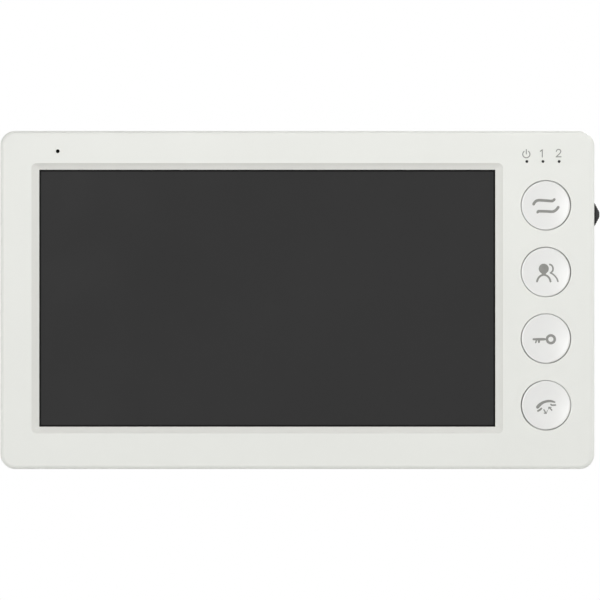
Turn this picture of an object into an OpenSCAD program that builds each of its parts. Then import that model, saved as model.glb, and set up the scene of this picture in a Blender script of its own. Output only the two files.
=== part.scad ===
// Wall-mounted video intercom monitor: front and back casings, display stack,
// four round call keys, side jog control, boards, loudspeaker and wall bracket.
// X runs right as seen from the front, Y runs back to the wall, Z runs up.
// The origin is the middle of the wall screw pattern, on the wall plane.

/* [Casing] */
// Width of the front casing
body_w = 202; // [202:0.5:208]
// Height of the front casing
body_h = 115; // [115:0.5:120]
// Depth from the wall to the front face
body_d = 21; // [21:0.5:24]
// Radius of the four outer corners
corner_r = 5; // [4:0.5:7]
// Rounding of the front edge
edge_r = 1.4; // [0.8:0.1:1.6]
// Thickness of the casing walls
wall = 2; // [1.6:0.1:2]

/* [Screen] */
// Visible width of the screen
screen_w = 155.1; // [150:0.1:155.1]
// Visible height of the screen
screen_h = 87.4; // [84:0.1:87.4]
// Distance from the left edge of the casing to the screen
screen_left = 13.2; // [13.2:0.1:14]
// Height of the screen centre above the casing centre
screen_up = 0.6; // [0.4:0.05:0.8]
// Width of the sloping border at the left and right
bevel_x = 2.55; // [1.5:0.05:2.65]
// Width of the sloping border at the top and bottom
bevel_z = 2.2; // [1.5:0.05:2.35]
// Depth of the sloping border
bevel_d = 1; // [0.6:0.1:1.1]

/* [Keys] */
// Diameter of a key cap
key_d = 16.6; // [14:0.1:16.8]
// Gap round a key cap
key_gap = 0.3; // [0.26:0.02:0.44]
// Spacing of the keys
key_pitch = 22.67; // [22.4:0.01:23]
// Distance from the right edge of the casing to the key centres
key_right = 16.5; // [16.3:0.1:16.8]
// Depth of the finger dish in a key
dish = 0.45; // [0.2:0.05:0.6]
// Travel of a key
key_travel = 0.5; // [0.2:0.1:0.5]

/* [Jog control] */
// Height of the jog control above the casing centre
jog_up = 29.1; // [27:0.1:30]
// How far the jog control stands out of the side
jog_out = 2; // [1:0.1:2.5]

/* [Wall bracket] */
// Thickness of the bracket plate
plate_t = 1.2; // [1:0.1:1.2]
// Horizontal spacing of the four wall screws
wall_sx = 84; // [80:1:86]
// Vertical spacing of the four wall screws
wall_sz = 62; // [61:0.5:63]
// Diameter of the wall screw holes
wall_hole = 4.5; // [3.5:0.1:4.8]

/* [Hidden] */
$fn = 48;

e = 0.01;
hw = body_w / 2;
hh = body_h / 2;
yf = -body_d;              // front face
face_t = 2.2;              // thickness of the front face
split = 9;                 // depth of the front casing
rear = -1.5;               // rear face of the back casing
floor_in = rear - 2;       // inner face of the rear wall

// screen and display stack
scx = -hw + screen_left + screen_w / 2;
scz = screen_up;
lens_w = 160;
lens_h = 92;
lcd_x0 = scx - 82.45;
lcd_x1 = scx + 82.45;
lcd_z0 = scz - 50.05;
lcd_z1 = scz + 46.95;

// keys, top to bottom
kx = hw - key_right;
kz0 = 32.2;
key_z = [for (i = [0:3]) kz0 - i * key_pitch];
kr = key_d / 2;
flange_r = 9.6;

// jog control
jx = hw - 3.4;             // rocking axis
jy = yf + 5.35;

// screw positions
case_x = hw - 7.5;
case_z = hh - 5.5;
holder_pts = [[-hw + 5.6, 20], [-hw + 5.6, -20], [60, hh - 6], [60, -hh + 5.6]];
board_pts = [[-36, 38], [-36, -38], [66, 38], [66, -38]];
keyb_pts = [[kx - 8.1, kz0 - key_pitch / 2], [kx - 8.1, kz0 - 2.5 * key_pitch],
            [kx + 8.3, kz0 - 1.5 * key_pitch]];

// loudspeaker
spx = -hw + 33;
spz = -22;

// status lights and microphone
led_x = [hw - 23, hw - 17.5, hw - 12];
led_z = hh - 10.4;
mic_x = -hw + 19.5;
mic_z = hh - 6.9;

// hooks
hook_x = 42;
hook_w = 8;
hook_z = [20, -16];        // top of each neck
hook_up = 5;
lift = 7;

plastic = [0.91, 0.915, 0.895];

// ---------- helpers ----------
// rectangle with true arcs at its corners
module rrect(w, h, r) {
    union() {
        square([w - 2 * r, h], center = true);
        square([w, h - 2 * r], center = true);
        for (x = [-1, 1], z = [-1, 1])
            translate([x * (w / 2 - r), z * (h / 2 - r)]) circle(r = r);
    }
}
// extrude an X-Z outline from y0 back to y1
module along_y(y0, y1) {
    translate([0, y1, 0]) rotate([90, 0, 0]) linear_extrude(y1 - y0) children();
}
module box(x0, x1, y0, y1, z0, z1) {
    translate([x0, y0, z0]) cube([x1 - x0, y1 - y0, z1 - z0]);
}
module peg(x, z, r, y0, y1) {
    translate([x, y1, z]) rotate([90, 0, 0]) cylinder(r = r, h = y1 - y0);
}
// turn a profile of [radius, y] points about an axis through x, z
module turned(x, z, pts) {
    translate([x, 0, z]) rotate([-90, 0, 0]) rotate_extrude() polygon(pts);
}
// pan-head screw, head towards the wall, with a cross recess
module screw(x, z, y_seat, r, len, head_r, head_h) {
    difference() {
        union() {
            peg(x, z, head_r, y_seat, y_seat + head_h);
            peg(x, z, r, y_seat - len, y_seat + e);
        }
        box(x - head_r * 0.62, x + head_r * 0.62, y_seat + head_h * 0.45,
            y_seat + head_h + 1, z - 0.2, z + 0.2);
        box(x - 0.2, x + 0.2, y_seat + head_h * 0.45,
            y_seat + head_h + 1, z - head_r * 0.62, z + head_r * 0.62);
    }
}

// ---------- wall bracket ----------
module wall_bracket() {
    color([0.72, 0.73, 0.75]) {
        difference() {
            along_y(-plate_t, 0) rrect(104, 76, 4);
            along_y(-plate_t - 1, 1) rrect(48, 36, 3);
            for (x = [-1, 1], z = [-1, 1])
                peg(x * wall_sx / 2, z * wall_sz / 2, wall_hole / 2, -plate_t - 1, 1);
            for (x = [-1, 1]) peg(x * 30, 0, 2, -plate_t - 1, 1);
            for (x = [-1, 1], z = hook_z)
                box(x * hook_x - hook_w / 2 - 0.3, x * hook_x + hook_w / 2 + 0.3,
                    -plate_t - 1, 1, z - 9.2, z - plate_t);
        }
        for (x = [-1, 1], z = hook_z) {
            box(x * hook_x - hook_w / 2, x * hook_x + hook_w / 2,
                -5, -plate_t / 2, z - plate_t, z);
            box(x * hook_x - hook_w / 2, x * hook_x + hook_w / 2,
                -5, -3.8, z - plate_t, z + hook_up);
        }
    }
}

// ---------- front casing ----------
module front_outer() {
    hull() {
        for (s = [[0, 1], [0.134, 0.5], [0.5, 0.134], [1, 0]])
            along_y(yf + s[0] * edge_r, yf + s[0] * edge_r + 0.02)
                rrect(body_w - 2 * s[1] * edge_r, body_h - 2 * s[1] * edge_r,
                      corner_r - s[1] * edge_r, $fn = 32);
        along_y(yf + split - 0.02, yf + split) rrect(body_w, body_h, corner_r, $fn = 32);
    }
}
// sloping screen border, wide at the front face
module bevel_cut() {
    a = screen_w / 2;
    b = screen_h / 2;
    k = bevel_x / bevel_d;
    m = bevel_z / bevel_d;
    translate([scx, yf, scz]) intersection() {
        translate([0, 0, -80]) linear_extrude(160)
            polygon([[-a - bevel_x - k, -1], [a + bevel_x + k, -1], [a, bevel_d], [-a, bevel_d]]);
        translate([-120, 0, 0]) rotate([90, 0, 90]) linear_extrude(240)
            polygon([[-1, -b - bevel_z - m], [-1, b + bevel_z + m], [bevel_d, b], [bevel_d, -b]]);
    }
}
module front_shell() {
    color(plastic) difference() {
        union() {
            difference() {
                front_outer();
                along_y(yf + face_t, yf + split + 1)
                    rrect(body_w - 2 * wall, body_h - 2 * wall, max(corner_r - wall, 1));
                bevel_cut();
                box(scx - screen_w / 2, scx + screen_w / 2, yf + bevel_d - e, yf + face_t + 1,
                    scz - screen_h / 2, scz + screen_h / 2);
                box(scx - lens_w / 2 - 0.15, scx + lens_w / 2 + 0.15, yf + 1.5, yf + face_t + 1,
                    scz - lens_h / 2 - 0.15, scz + lens_h / 2 + 0.15);
            }
            // casing screw posts and their ribs
            for (x = [-1, 1], z = [-1, 1]) {
                peg(x * case_x, z * case_z, 2.4, yf + face_t - e, yf + 7.5);
                box(x * case_x - 0.6, x * case_x + 0.6, yf + face_t - e, yf + 7.2,
                    z > 0 ? case_z + 1.6 : -hh + wall / 2, z > 0 ? hh - wall / 2 : -case_z - 1.6);
            }
            // display holder posts
            for (p = holder_pts) peg(p[0], p[1], 2.1, yf + face_t - e, yf + 7.2);
            for (p = [holder_pts[0], holder_pts[1]])
                box(-hw + wall / 2, p[0] - 1.6, yf + face_t - e, yf + 7.2, p[1] - 0.6, p[1] + 0.6);
            // key board posts
            for (p = keyb_pts) peg(p[0], p[1], 2, yf + face_t - e, yf + 6.8);
            // guide ring and stop rib round each key
            for (z = key_z) {
                difference() {
                    peg(kx, z, flange_r + 1.1, yf + face_t - e, yf + 3.6);
                    peg(kx, z, flange_r + 0.3, yf + face_t - 1, yf + 5);
                }
                box(kx - 0.8, kx + 0.8, yf + face_t - e, yf + 3.6, z - flange_r - 0.7, z - flange_r + 0.6);
            }
            // microphone cup
            difference() {
                peg(mic_x, mic_z, 3, yf + face_t - e, yf + 5);
                peg(mic_x, mic_z, 2.5, yf + face_t - 1, yf + 6);
            }
            // pads the display rests on
            for (z = [-30, 30]) {
                box(lcd_x0 + 0.2, lcd_x0 + 2, yf + face_t - e, yf + 3.4, z - 4, z + 4);
                box(lcd_x1 - 2, lcd_x1 - 0.2, yf + face_t - e, yf + 3.4, z - 4, z + 4);
            }
            for (x = [-60, 0, 45])
                box(x - 4, x + 4, yf + face_t - e, yf + 3.4, lcd_z0 + 0.2, lcd_z0 + 3.2);
        }
        // key holes
        for (z = key_z) peg(kx, z, kr + key_gap, yf - 1, yf + face_t + 0.4);
        // status light and microphone holes
        for (x = led_x) peg(x, led_z, 0.5, yf - 1, yf + face_t + 1);
        peg(mic_x, mic_z, 0.65, yf - 1, yf + face_t + 0.3);
        // screw bores
        for (x = [-1, 1], z = [-1, 1])
            peg(x * case_x, z * case_z, 1.17, yf + face_t + 0.6, yf + 8);
        for (p = holder_pts) peg(p[0], p[1], 0.92, yf + face_t + 0.6, yf + 8);
        for (p = keyb_pts) peg(p[0], p[1], 0.92, yf + face_t + 0.6, yf + 8);
        // jog slot
        box(hw - wall - 1, hw + 1, jy - 1.55, jy + 1.55, jog_up - 4.85, jog_up + 4.85);
    }
}

// ---------- back casing ----------
module back_shell() {
    iw = body_w - 7.4;
    ih = body_h - 7.4;
    color(plastic) difference() {
        union() {
            difference() {
                union() {
                    hull() {
                        along_y(yf + split, yf + split + 0.02) rrect(body_w - 3, body_h - 3, 4, $fn = 32);
                        along_y(-3.02, -3) rrect(body_w - 3.6, body_h - 3.6, 4, $fn = 32);
                        along_y(-2, -1.98) rrect(body_w - 4.4, body_h - 4.4, 3.6, $fn = 32);
                        along_y(rear - 0.02, rear) rrect(body_w - 5.6, body_h - 5.6, 3, $fn = 32);
                    }
                    along_y(yf + split - 1.4, yf + split + 1)
                        rrect(body_w - 2 * wall - 0.2, body_h - 2 * wall - 0.2, 2.9);
                }
                along_y(yf + split - 3, floor_in) rrect(iw, ih, 2);
            }
            // screw tubes
            for (x = [-1, 1], z = [-1, 1])
                peg(x * case_x, z * case_z, 3, yf + split - 1.4, floor_in + 0.5);
            // loudspeaker seat
            difference() {
                peg(spx, spz, 19.3, floor_in - 0.9, floor_in + 0.5);
                peg(spx, spz, 18.3, floor_in - 2, floor_in + 1);
            }
            for (z = [-1, 1]) peg(spx, spz + z * 20, 1.9, floor_in - 1, floor_in + 0.5);
            // rim round the wiring opening
            difference() {
                along_y(floor_in - 1, floor_in + 0.5) rrect(59, 19, 3.5);
                along_y(floor_in - 2, floor_in + 1) rrect(56, 16, 2);
            }
        }
        // casing screw bores and head recesses
        for (x = [-1, 1], z = [-1, 1]) {
            peg(x * case_x, z * case_z, 1.3, yf + split - 3, rear + 1);
            peg(x * case_x, z * case_z, 2.3, -6, rear + 1);
        }
        // loudspeaker screw bores
        for (z = [-1, 1]) peg(spx, spz + z * 20, 0.92, floor_in - 2, rear - 0.8);
        // loudspeaker grille
        for (i = [-4:4]) {
            l = sqrt(14.4 * 14.4 - i * i * 9) - 1;
            along_y(floor_in - 0.5, rear + 1) translate([spx + i * 3, spz]) {
                square([1.5, 2 * l], center = true);
                for (s = [-1, 1]) translate([0, s * l]) circle(r = 0.75);
            }
        }
        // wiring opening
        along_y(floor_in - 2, rear + 1) rrect(56, 16, 2);
        // hook slots
        for (x = [-1, 1], z = hook_z)
            box(x * hook_x - hook_w / 2 - 0.5, x * hook_x + hook_w / 2 + 0.5,
                floor_in - 1, rear + 1, z - lift - 2.2, z + 0.05);
        // cooling slots, top and bottom
        for (x = [-66:6:66], s = [-1, 1])
            box(x - 0.7, x + 0.7, -9.5, -5.5,
                s > 0 ? hh - 4.5 : -hh - 1, s > 0 ? hh + 1 : -hh + 4.5);
    }
}

// ---------- display stack ----------
module frame_xz(cx, cz, w, h, iw, ih, y0, y1) {
    difference() {
        box(cx - w / 2, cx + w / 2, y0, y1, cz - h / 2, cz + h / 2);
        box(cx - iw / 2, cx + iw / 2, y0 - 1, y1 + 1, cz - ih / 2, cz + ih / 2);
    }
}
module screen_window() {
    color([0.22, 0.22, 0.22])
        box(scx - lens_w / 2, scx + lens_w / 2, yf + 1.7, yf + 2.9, scz - lens_h / 2, scz + lens_h / 2);
}
module window_tape() {
    color([0.08, 0.08, 0.08])
        frame_xz(scx, scz, lens_w, lens_h, screen_w + 1.1, screen_h + 1.1, yf + 1.5, yf + 1.7);
}
module lcd_gasket() {
    color([0.1, 0.1, 0.1])
        frame_xz(scx, scz, lens_w, lens_h, screen_w + 1.6, screen_h + 1.7, yf + 2.9, yf + 3.4);
}
module lcd_bezel() {
    color([0.75, 0.76, 0.78]) difference() {
        box(lcd_x0, lcd_x1, yf + 3.4, yf + 7.2, lcd_z0, lcd_z1);
        box(lcd_x0 + 0.4, lcd_x1 - 0.4, yf + 3.8, yf + 8, lcd_z0 + 0.4, lcd_z1 - 0.4);
        box(scx - screen_w / 2 - 0.5, scx + screen_w / 2 + 0.5, yf + 3, yf + 4,
            scz - screen_h / 2 - 0.5, scz + screen_h / 2 + 0.5);
    }
}
module lcd_glass() {
    color([0.13, 0.13, 0.14])
        box(lcd_x0 + 0.5, lcd_x1 - 0.5, yf + 3.8, yf + 5.2, lcd_z0 + 0.5, lcd_z1 - 0.5);
}
module backlight_unit() {
    color([0.93, 0.93, 0.9])
        box(lcd_x0 + 0.5, lcd_x1 - 0.5, yf + 5.2, yf + 7.2, lcd_z0 + 0.5, lcd_z1 - 0.5);
}
module lcd_holder() {
    y0 = yf + 7.2;
    y1 = yf + 8.6;
    color([0.2, 0.2, 0.21]) difference() {
        union() {
            frame_xz((lcd_x0 + lcd_x1) / 2, (lcd_z0 + lcd_z1) / 2, 163.6, 95.8, 144, 67, y0, y1);
            for (p = [holder_pts[0], holder_pts[1]])
                box(p[0] - 1.8, lcd_x0 + 2, y0, y1, p[1] - 2.5, p[1] + 2.5);
            box(57.5, 62.5, y0, y1, lcd_z1 - 2, holder_pts[2][1] + 2);
            box(57.5, 62.5, y0, y1, holder_pts[3][1] - 1.75, lcd_z0 + 2);
            for (p = board_pts) peg(p[0], p[1], 2.3, y1 - 0.2, yf + 9.8);
        }
        for (p = holder_pts) peg(p[0], p[1], 1.05, y0 - 1, y1 + 1);
        for (p = board_pts) peg(p[0], p[1], 0.92, y0 + 0.1, y1 + 3);
        box(-32, -3, y0 - 1, y1 + 1, lcd_z0 - 1, lcd_z0 + 5.5);
    }
}
module lcd_ribbon() {
    color([0.85, 0.55, 0.2]) {
        box(-30, -5, yf + 7.2, yf + 11.9, lcd_z0 + 2.5, lcd_z0 + 2.8);
        box(-30, -5, yf + 11.6, yf + 11.9, lcd_z0 + 2.5, -40);
    }
}
module ribbon_connector() {
    color([0.93, 0.9, 0.8]) difference() {
        box(-32, -3, yf + 11.4, yf + 13, -40, -35.5);
        box(-30.2, -4.8, yf + 11.55, yf + 11.95, -41, -37);
    }
}

// ---------- main board ----------
module main_board() {
    color([0.1, 0.36, 0.2]) difference() {
        box(-40, 70, yf + 9.8, yf + 11.4, -42, 42);
        for (p = board_pts) peg(p[0], p[1], 1.1, yf + 9, yf + 12);
    }
}
module chip(x, z, w, h, t) {
    box(x - w / 2, x + w / 2, yf + 11.5, yf + 11.5 + t, z - h / 2, z + h / 2);
    for (s = [-1, 1]) {
        box(x - w / 2 + 0.6, x + w / 2 - 0.6, yf + 11.4, yf + 11.6, z + s * (h / 2 + 0.3) - 0.4, z + s * (h / 2 + 0.3) + 0.4);
    }
}
module main_chips() {
    color([0.12, 0.12, 0.13]) {
        chip(26, 20, 14, 14, 1.4);
        chip(4, 24, 9, 9, 1.2);
        chip(24, -18, 10, 8, 1.1);
        chip(6, -16, 6, 5, 1.5);
        chip(-12, 22, 5, 4, 1.5);
        chip(58, 2, 5, 6, 1.5);
    }
}
module capacitors() {
    color([0.78, 0.79, 0.8])
        for (p = [[-30, 30], [-21, 30], [56, 28], [56, -26], [-33, -15]]) {
            peg(p[0], p[1], 3.1, yf + 11.9, yf + 16.8);
            box(p[0] - 3.3, p[0] + 3.3, yf + 11.4, yf + 12, p[1] - 3.3, p[1] + 3.3);
        }
}
module inductors() {
    color([0.22, 0.22, 0.24])
        for (p = [[-28, 12], [62, 14], [-22, -24]]) difference() {
            box(p[0] - 3.6, p[0] + 3.6, yf + 11.4, yf + 14.6, p[1] - 3.6, p[1] + 3.6);
            peg(p[0], p[1], 2.6, yf + 14.1, yf + 15);
        }
}
header_x = [-17, 0, 17];
module wire_headers() {
    color([0.94, 0.93, 0.88])
        for (x = header_x) difference() {
            box(x - 6.2, x + 6.2, yf + 11.4, -3.9, -2.9, 2.9);
            box(x - 5.3, x + 5.3, yf + 13, -3, -2, 2);
            box(x - 4, x + 4, -6.5, -3, -3.5, -1.5);
            for (i = [-1.5:1:1.5])
                box(x + i * 2.5 - 0.34, x + i * 2.5 + 0.34, yf + 11, yf + 14, -0.34, 0.34);
        }
}
module header_pins() {
    color([0.85, 0.83, 0.75])
        for (x = header_x, i = [-1.5:1:1.5])
            box(x + i * 2.5 - 0.32, x + i * 2.5 + 0.32, yf + 11.4, -4.7, -0.32, 0.32);
}

// ---------- key board ----------
module key_board() {
    color([0.1, 0.36, 0.2]) difference() {
        union() {
            box(kx - 10.9, hw - 6, yf + 6.8, yf + 8.4, -47, 46.5);
            box(kx - 10.9, kx + 5.5, yf + 6.8, yf + 8.4, 46, 51);
        }
        for (p = keyb_pts) peg(p[0], p[1], 1.1, yf + 6, yf + 9);
    }
}
module key_cable() {
    color([0.8, 0.8, 0.82]) {
        box(kx - 7.2, kx - 6.8, yf + 8.4, yf + 12.4, -8, 2);
        box(64, kx - 6.8, yf + 12, yf + 12.4, -8, 2);
        box(64, 64.4, yf + 11.4, yf + 12.4, -8, 2);
    }
}
module tact_switches() {
    color([0.15, 0.15, 0.16])
        for (z = key_z) difference() {
            union() {
                box(kx - 3, kx + 3, yf + 4, yf + 6.8, z - 3, z + 3);
                for (s = [-1, 1], t = [-1, 1])
                    box(kx + s * 3.5 - 0.6, kx + s * 3.5 + 0.6, yf + 6.5, yf + 6.8,
                        z + t * 2.2 - 0.35, z + t * 2.2 + 0.35);
            }
            peg(kx, z, 1.8, yf + 3, yf + 5.9);
        }
}
module jog_switch() {
    color([0.2, 0.2, 0.21]) difference() {
        box(hw - 10.2, hw - 5.2, yf + 4.2, yf + 6.8, jog_up - 2.8, jog_up + 2.8);
        box(hw - 7.4, hw - 4, jy - 0.75, jy + 0.75, jog_up - 1.1, jog_up + 1.1);
    }
}
module status_leds() {
    color([0.95, 0.93, 0.85])
        for (x = led_x) box(x - 0.8, x + 0.8, yf + 6, yf + 6.8, led_z - 0.4, led_z + 0.4);
}
module light_guide() {
    color([0.1, 0.1, 0.1]) {
        for (x = led_x) peg(x, led_z, 0.45, yf + 0.05, yf + 3.5);
        box(hw - 26, hw - 10.6, yf + 3.4, yf + 5.9, led_z - 1.1, led_z + 1.1);
        for (x = [hw - 25.4, hw - 15]) box(x - 0.5, x + 0.5, yf + 5.8, yf + 6.8, led_z - 1.1, led_z + 1.1);
    }
}

// ---------- microphone ----------
module mic_capsule() {
    color([0.75, 0.75, 0.76]) peg(mic_x, mic_z, 1.98, yf + 2.9, yf + 4.4);
}
module mic_boot() {
    color([0.07, 0.07, 0.07]) difference() {
        peg(mic_x, mic_z, 2.45, yf + face_t + 0.02, yf + 5.1);
        peg(mic_x, mic_z, 2, yf + 2.88, yf + 6);
        peg(mic_x, mic_z, 0.65, yf + 1, yf + 3);
    }
}
module mic_lead() {
    color([0.75, 0.1, 0.1]) {
        box(mic_x - 0.8, mic_x + 0.8, yf + 4.42, yf + 12.3, mic_z - 0.4, mic_z + 0.4);
        box(mic_x - 0.8, -34, yf + 11.5, yf + 12.3, mic_z - 0.4, mic_z + 0.4);
        box(-34.8, -34, yf + 11.5, yf + 12.3, 40.5, mic_z + 0.4);
    }
}

// ---------- loudspeaker ----------
module speaker_frame() {
    color([0.7, 0.7, 0.72]) turned(spx, spz, [
        [18, -3.9], [18, -4.5], [15.6, -4.5], [9.6, -8.6], [4, -8.6], [4, -8],
        [9.3, -8], [15.3, -3.9]]);
}
module speaker_cone() {
    color([0.12, 0.12, 0.12]) turned(spx, spz, [
        [14.95, -3.95], [14.35, -4.25], [5.6, -7.6], [0, -7.6], [0, -6.2],
        [3.5, -6.6], [5.6, -7.1], [14, -3.95]]);
}
module speaker_magnet() {
    color([0.3, 0.3, 0.32]) {
        peg(spx, spz, 8, -12, -8.6);
        peg(spx, spz, 3.4, -8.7, -7.9);
    }
}
module speaker_gasket() {
    color([0.1, 0.1, 0.1]) difference() {
        peg(spx, spz, 18, -3.9, -3.5);
        peg(spx, spz, 15.3, -5, -3);
    }
}
module speaker_lead() {
    color([0.1, 0.1, 0.1]) box(spx + 9.9, -36, -9.5, -8.7, spz - 0.4, spz + 0.4);
}

// ---------- fasteners ----------
module case_screws() {
    color([0.3, 0.3, 0.32])
        for (x = [-1, 1], z = [-1, 1]) screw(x * case_x, z * case_z, -6, 1.15, 10.8, 2, 1.5);
}
module holder_screws() {
    color([0.6, 0.6, 0.62])
        for (p = holder_pts) screw(p[0], p[1], yf + 8.6, 0.9, 5, 1.65, 1.1);
}
module board_screws() {
    color([0.6, 0.6, 0.62]) {
        for (p = board_pts) screw(p[0], p[1], yf + 11.4, 0.9, 4, 1.8, 1.1);
        for (p = keyb_pts) screw(p[0], p[1], yf + 8.4, 0.9, 5, 1.8, 1.1);
    }
}
module speaker_screws() {
    color([0.6, 0.6, 0.62])
        for (z = [-1, 1]) translate([spx, 0, spz + z * 20]) rotate([0, 0, 180])
            screw(0, 0, 4.5, 0.9, 2.1, 2.7, 1);
}

// ---------- keys ----------
module key_cap(z) {
    rim = kr - 0.7;
    ball = (rim * rim + dish * dish) / (2 * dish);
    hollow = [for (i = [0:8]) let (r = rim * i / 8)
        [r, yf - 0.3 + dish - ball + sqrt(ball * ball - r * r)]];
    color([0.93, 0.93, 0.92]) difference() {
        turned(kx, z, concat(hollow, [
            [kr - 0.3, yf - 0.3], [kr, yf], [kr, yf + 2.3],
            [flange_r, yf + 2.3], [flange_r, yf + 3.1], [7, yf + 3.1], [7, yf + 1.4],
            [2.5, yf + 1.4], [2.5, yf + 3.4], [0, yf + 3.4]]));
        box(kx - 1, kx + 1, yf + 2, yf + 4, z - flange_r - 1, z - flange_r + 0.8);
    }
}
module plunger(z) {
    color([0.2, 0.2, 0.2]) peg(kx, z, 1.75, yf + 3.4, yf + 5.2);
}

// ---------- jog control ----------
module jog_stem() {
    color([0.35, 0.35, 0.36]) {
        box(hw - 6.4, hw - 2.8, jy - 0.6, jy + 0.6, jog_up - 0.9, jog_up + 0.9);
        peg(jx, jog_up, 0.5, jy - 1.3, jy + 1.3);
    }
}
module jog_knob() {
    color([0.06, 0.06, 0.06]) difference() {
        along_y(jy - 1.4, jy + 1.4) translate([hw, jog_up]) polygon([
            [-4.1, -5.3], [-2.9, -5.3], [-2.9, -4], [0.15, -4], [jog_out - 0.2, -1.35],
            [jog_out, -0.8], [jog_out, 0.8], [jog_out - 0.2, 1.35], [0.15, 4],
            [-2.9, 4], [-2.9, 5.3], [-4.1, 5.3]]);
        box(hw - 5, hw - 1.8, jy - 0.7, jy + 0.7, jog_up - 2.2, jog_up + 2.2);
        peg(jx, jog_up, 0.55, jy - 2, jy + 2);
    }
}

wall_bracket();
front_shell();
back_shell();
screen_window();
window_tape();
lcd_gasket();
lcd_bezel();
lcd_glass();
backlight_unit();
lcd_holder();
lcd_ribbon();
ribbon_connector();
main_board();
main_chips();
capacitors();
inductors();
wire_headers();
header_pins();
key_board();
key_cable();
tact_switches();
jog_switch();
status_leds();
light_guide();
mic_capsule();
mic_boot();
mic_lead();
speaker_frame();
speaker_cone();
speaker_magnet();
speaker_gasket();
speaker_lead();
case_screws();
holder_screws();
board_screws();
speaker_screws();
key_cap(key_z[0]);  // key_monitor
key_cap(key_z[1]);  // key_intercom
key_cap(key_z[2]);  // key_unlock
key_cap(key_z[3]);  // key_talk
plunger(key_z[0]);  // plunger_monitor
plunger(key_z[1]);  // plunger_intercom
plunger(key_z[2]);  // plunger_unlock
plunger(key_z[3]);  // plunger_talk
jog_stem();
jog_knob();
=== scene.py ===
import math

import bmesh
import bpy
import numpy as np
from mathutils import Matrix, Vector
from mathutils.geometry import delaunay_2d_cdt

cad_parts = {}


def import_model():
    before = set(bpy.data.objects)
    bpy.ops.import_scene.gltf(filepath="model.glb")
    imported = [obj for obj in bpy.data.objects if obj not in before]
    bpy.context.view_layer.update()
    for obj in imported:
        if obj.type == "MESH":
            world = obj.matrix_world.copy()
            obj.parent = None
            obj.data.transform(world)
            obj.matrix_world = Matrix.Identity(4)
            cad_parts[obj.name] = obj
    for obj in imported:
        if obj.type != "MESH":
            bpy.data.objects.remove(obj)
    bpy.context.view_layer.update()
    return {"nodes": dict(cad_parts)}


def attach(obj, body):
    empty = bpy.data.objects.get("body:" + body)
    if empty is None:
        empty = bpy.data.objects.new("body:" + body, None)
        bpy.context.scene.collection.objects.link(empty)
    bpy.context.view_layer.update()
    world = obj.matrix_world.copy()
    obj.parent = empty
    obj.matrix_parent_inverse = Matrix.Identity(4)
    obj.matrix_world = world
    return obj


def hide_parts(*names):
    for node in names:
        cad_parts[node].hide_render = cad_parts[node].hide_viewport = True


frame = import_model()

NODES = frame["nodes"]
MM = 0.001

# ----------------------------------------------------------------------------
# dimensions, in millimetres, as in the CAD
# ----------------------------------------------------------------------------
BW, BH, BD = 202.0, 115.0, 21.0
HW, HH, YF = BW / 2, BH / 2, -BD
CORNER, EDGE, WALL, FACE, SPLIT = 5.0, 1.4, 2.0, 2.2, 9.0
SW, SH = 155.1, 87.4
SCX, SCZ = -HW + 13.2 + SW / 2, 0.6
BEVX, BEVZ, BEVD = 2.55, 2.2, 1.0
LENS_W, LENS_H = 160.0, 92.0
KX, KZ0, PITCH = HW - 16.5, 32.2, 22.67
KEY_Z = [KZ0 - i * PITCH for i in range(4)]
KR, KGAP, DISH, FLANGE = 8.3, 0.30, 0.45, 9.6
KEY_SIT = [(-0.075, -0.06), (-0.065, -0.07), (0.0, 0.045), (0.08, 0.06)]   # each key sits a little off the middle of its hole
LED_X, LED_Z = [HW - 23, HW - 17.5, HW - 12], HH - 10.4
MIC_X, MIC_Z = -HW + 19.5, HH - 6.9
JX, JY, JZ, JOUT = HW - 3.4, YF + 5.35, 29.1, 1.88
CASE_X, CASE_Z = HW - 7.5, HH - 5.5
HOLDER = [(-HW + 5.6, 20), (-HW + 5.6, -20), (60, HH - 6), (60, -HH + 5.6)]
KEYB = [(KX - 8.1, KZ0 - PITCH / 2), (KX - 8.1, KZ0 - 2.5 * PITCH), (KX + 8.3, KZ0 - 1.5 * PITCH)]
SPX, SPZ = -HW + 33, -22.0
REAR, FLOOR = -1.5, -3.5
HOOK_X, HOOK_W, HOOK_Z, LIFT = 42.0, 8.0, [20.0, -16.0], 7.0
LCD_X0, LCD_X1, LCD_Z0 = SCX - 82.45, SCX + 82.45, SCZ - 50.05


# ----------------------------------------------------------------------------
# mesh helpers
# ----------------------------------------------------------------------------
def inside(points, poly):
    """Which of the points lie inside the polygon."""
    x, y = points[:, 0:1], points[:, 1:2]
    a = np.array(poly, float)
    b = np.roll(a, -1, axis=0)
    ax, ay, bx, by = a[:, 0][None], a[:, 1][None], b[:, 0][None], b[:, 1][None]
    with np.errstate(divide="ignore", invalid="ignore"):
        cross = (ay > y) != (by > y)
        at = (bx - ax) * (y - ay) / (by - ay) + ax
    return (np.sum(cross & (x < at), axis=1) % 2).astype(bool)


def triangulate(loops, extra=()):
    """Triangles of the area inside the first loop and outside the others."""
    pts, edges = [], []
    for loop in loops:
        start = len(pts)
        pts += [Vector(p) for p in loop]
        edges += [(start + i, start + (i + 1) % len(loop)) for i in range(len(loop))]
    pts += [Vector(p) for p in extra]
    _v, _e, faces, orig, _oe, _of = delaunay_2d_cdt(pts, edges, [], 0, 1e-7)
    back = {i: o[0] for i, o in enumerate(orig) if o}
    tris = [tuple(back[i] for i in f) for f in faces if all(i in back for i in f)]
    flat = np.array([[p.x, p.y] for p in pts])
    mid = np.array([flat[list(t)].mean(0) for t in tris])
    keep = inside(mid, loops[0])
    for hole in loops[1:]:
        keep &= ~inside(mid, hole)
    return [t for t, k in zip(tris, keep) if k]


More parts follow.
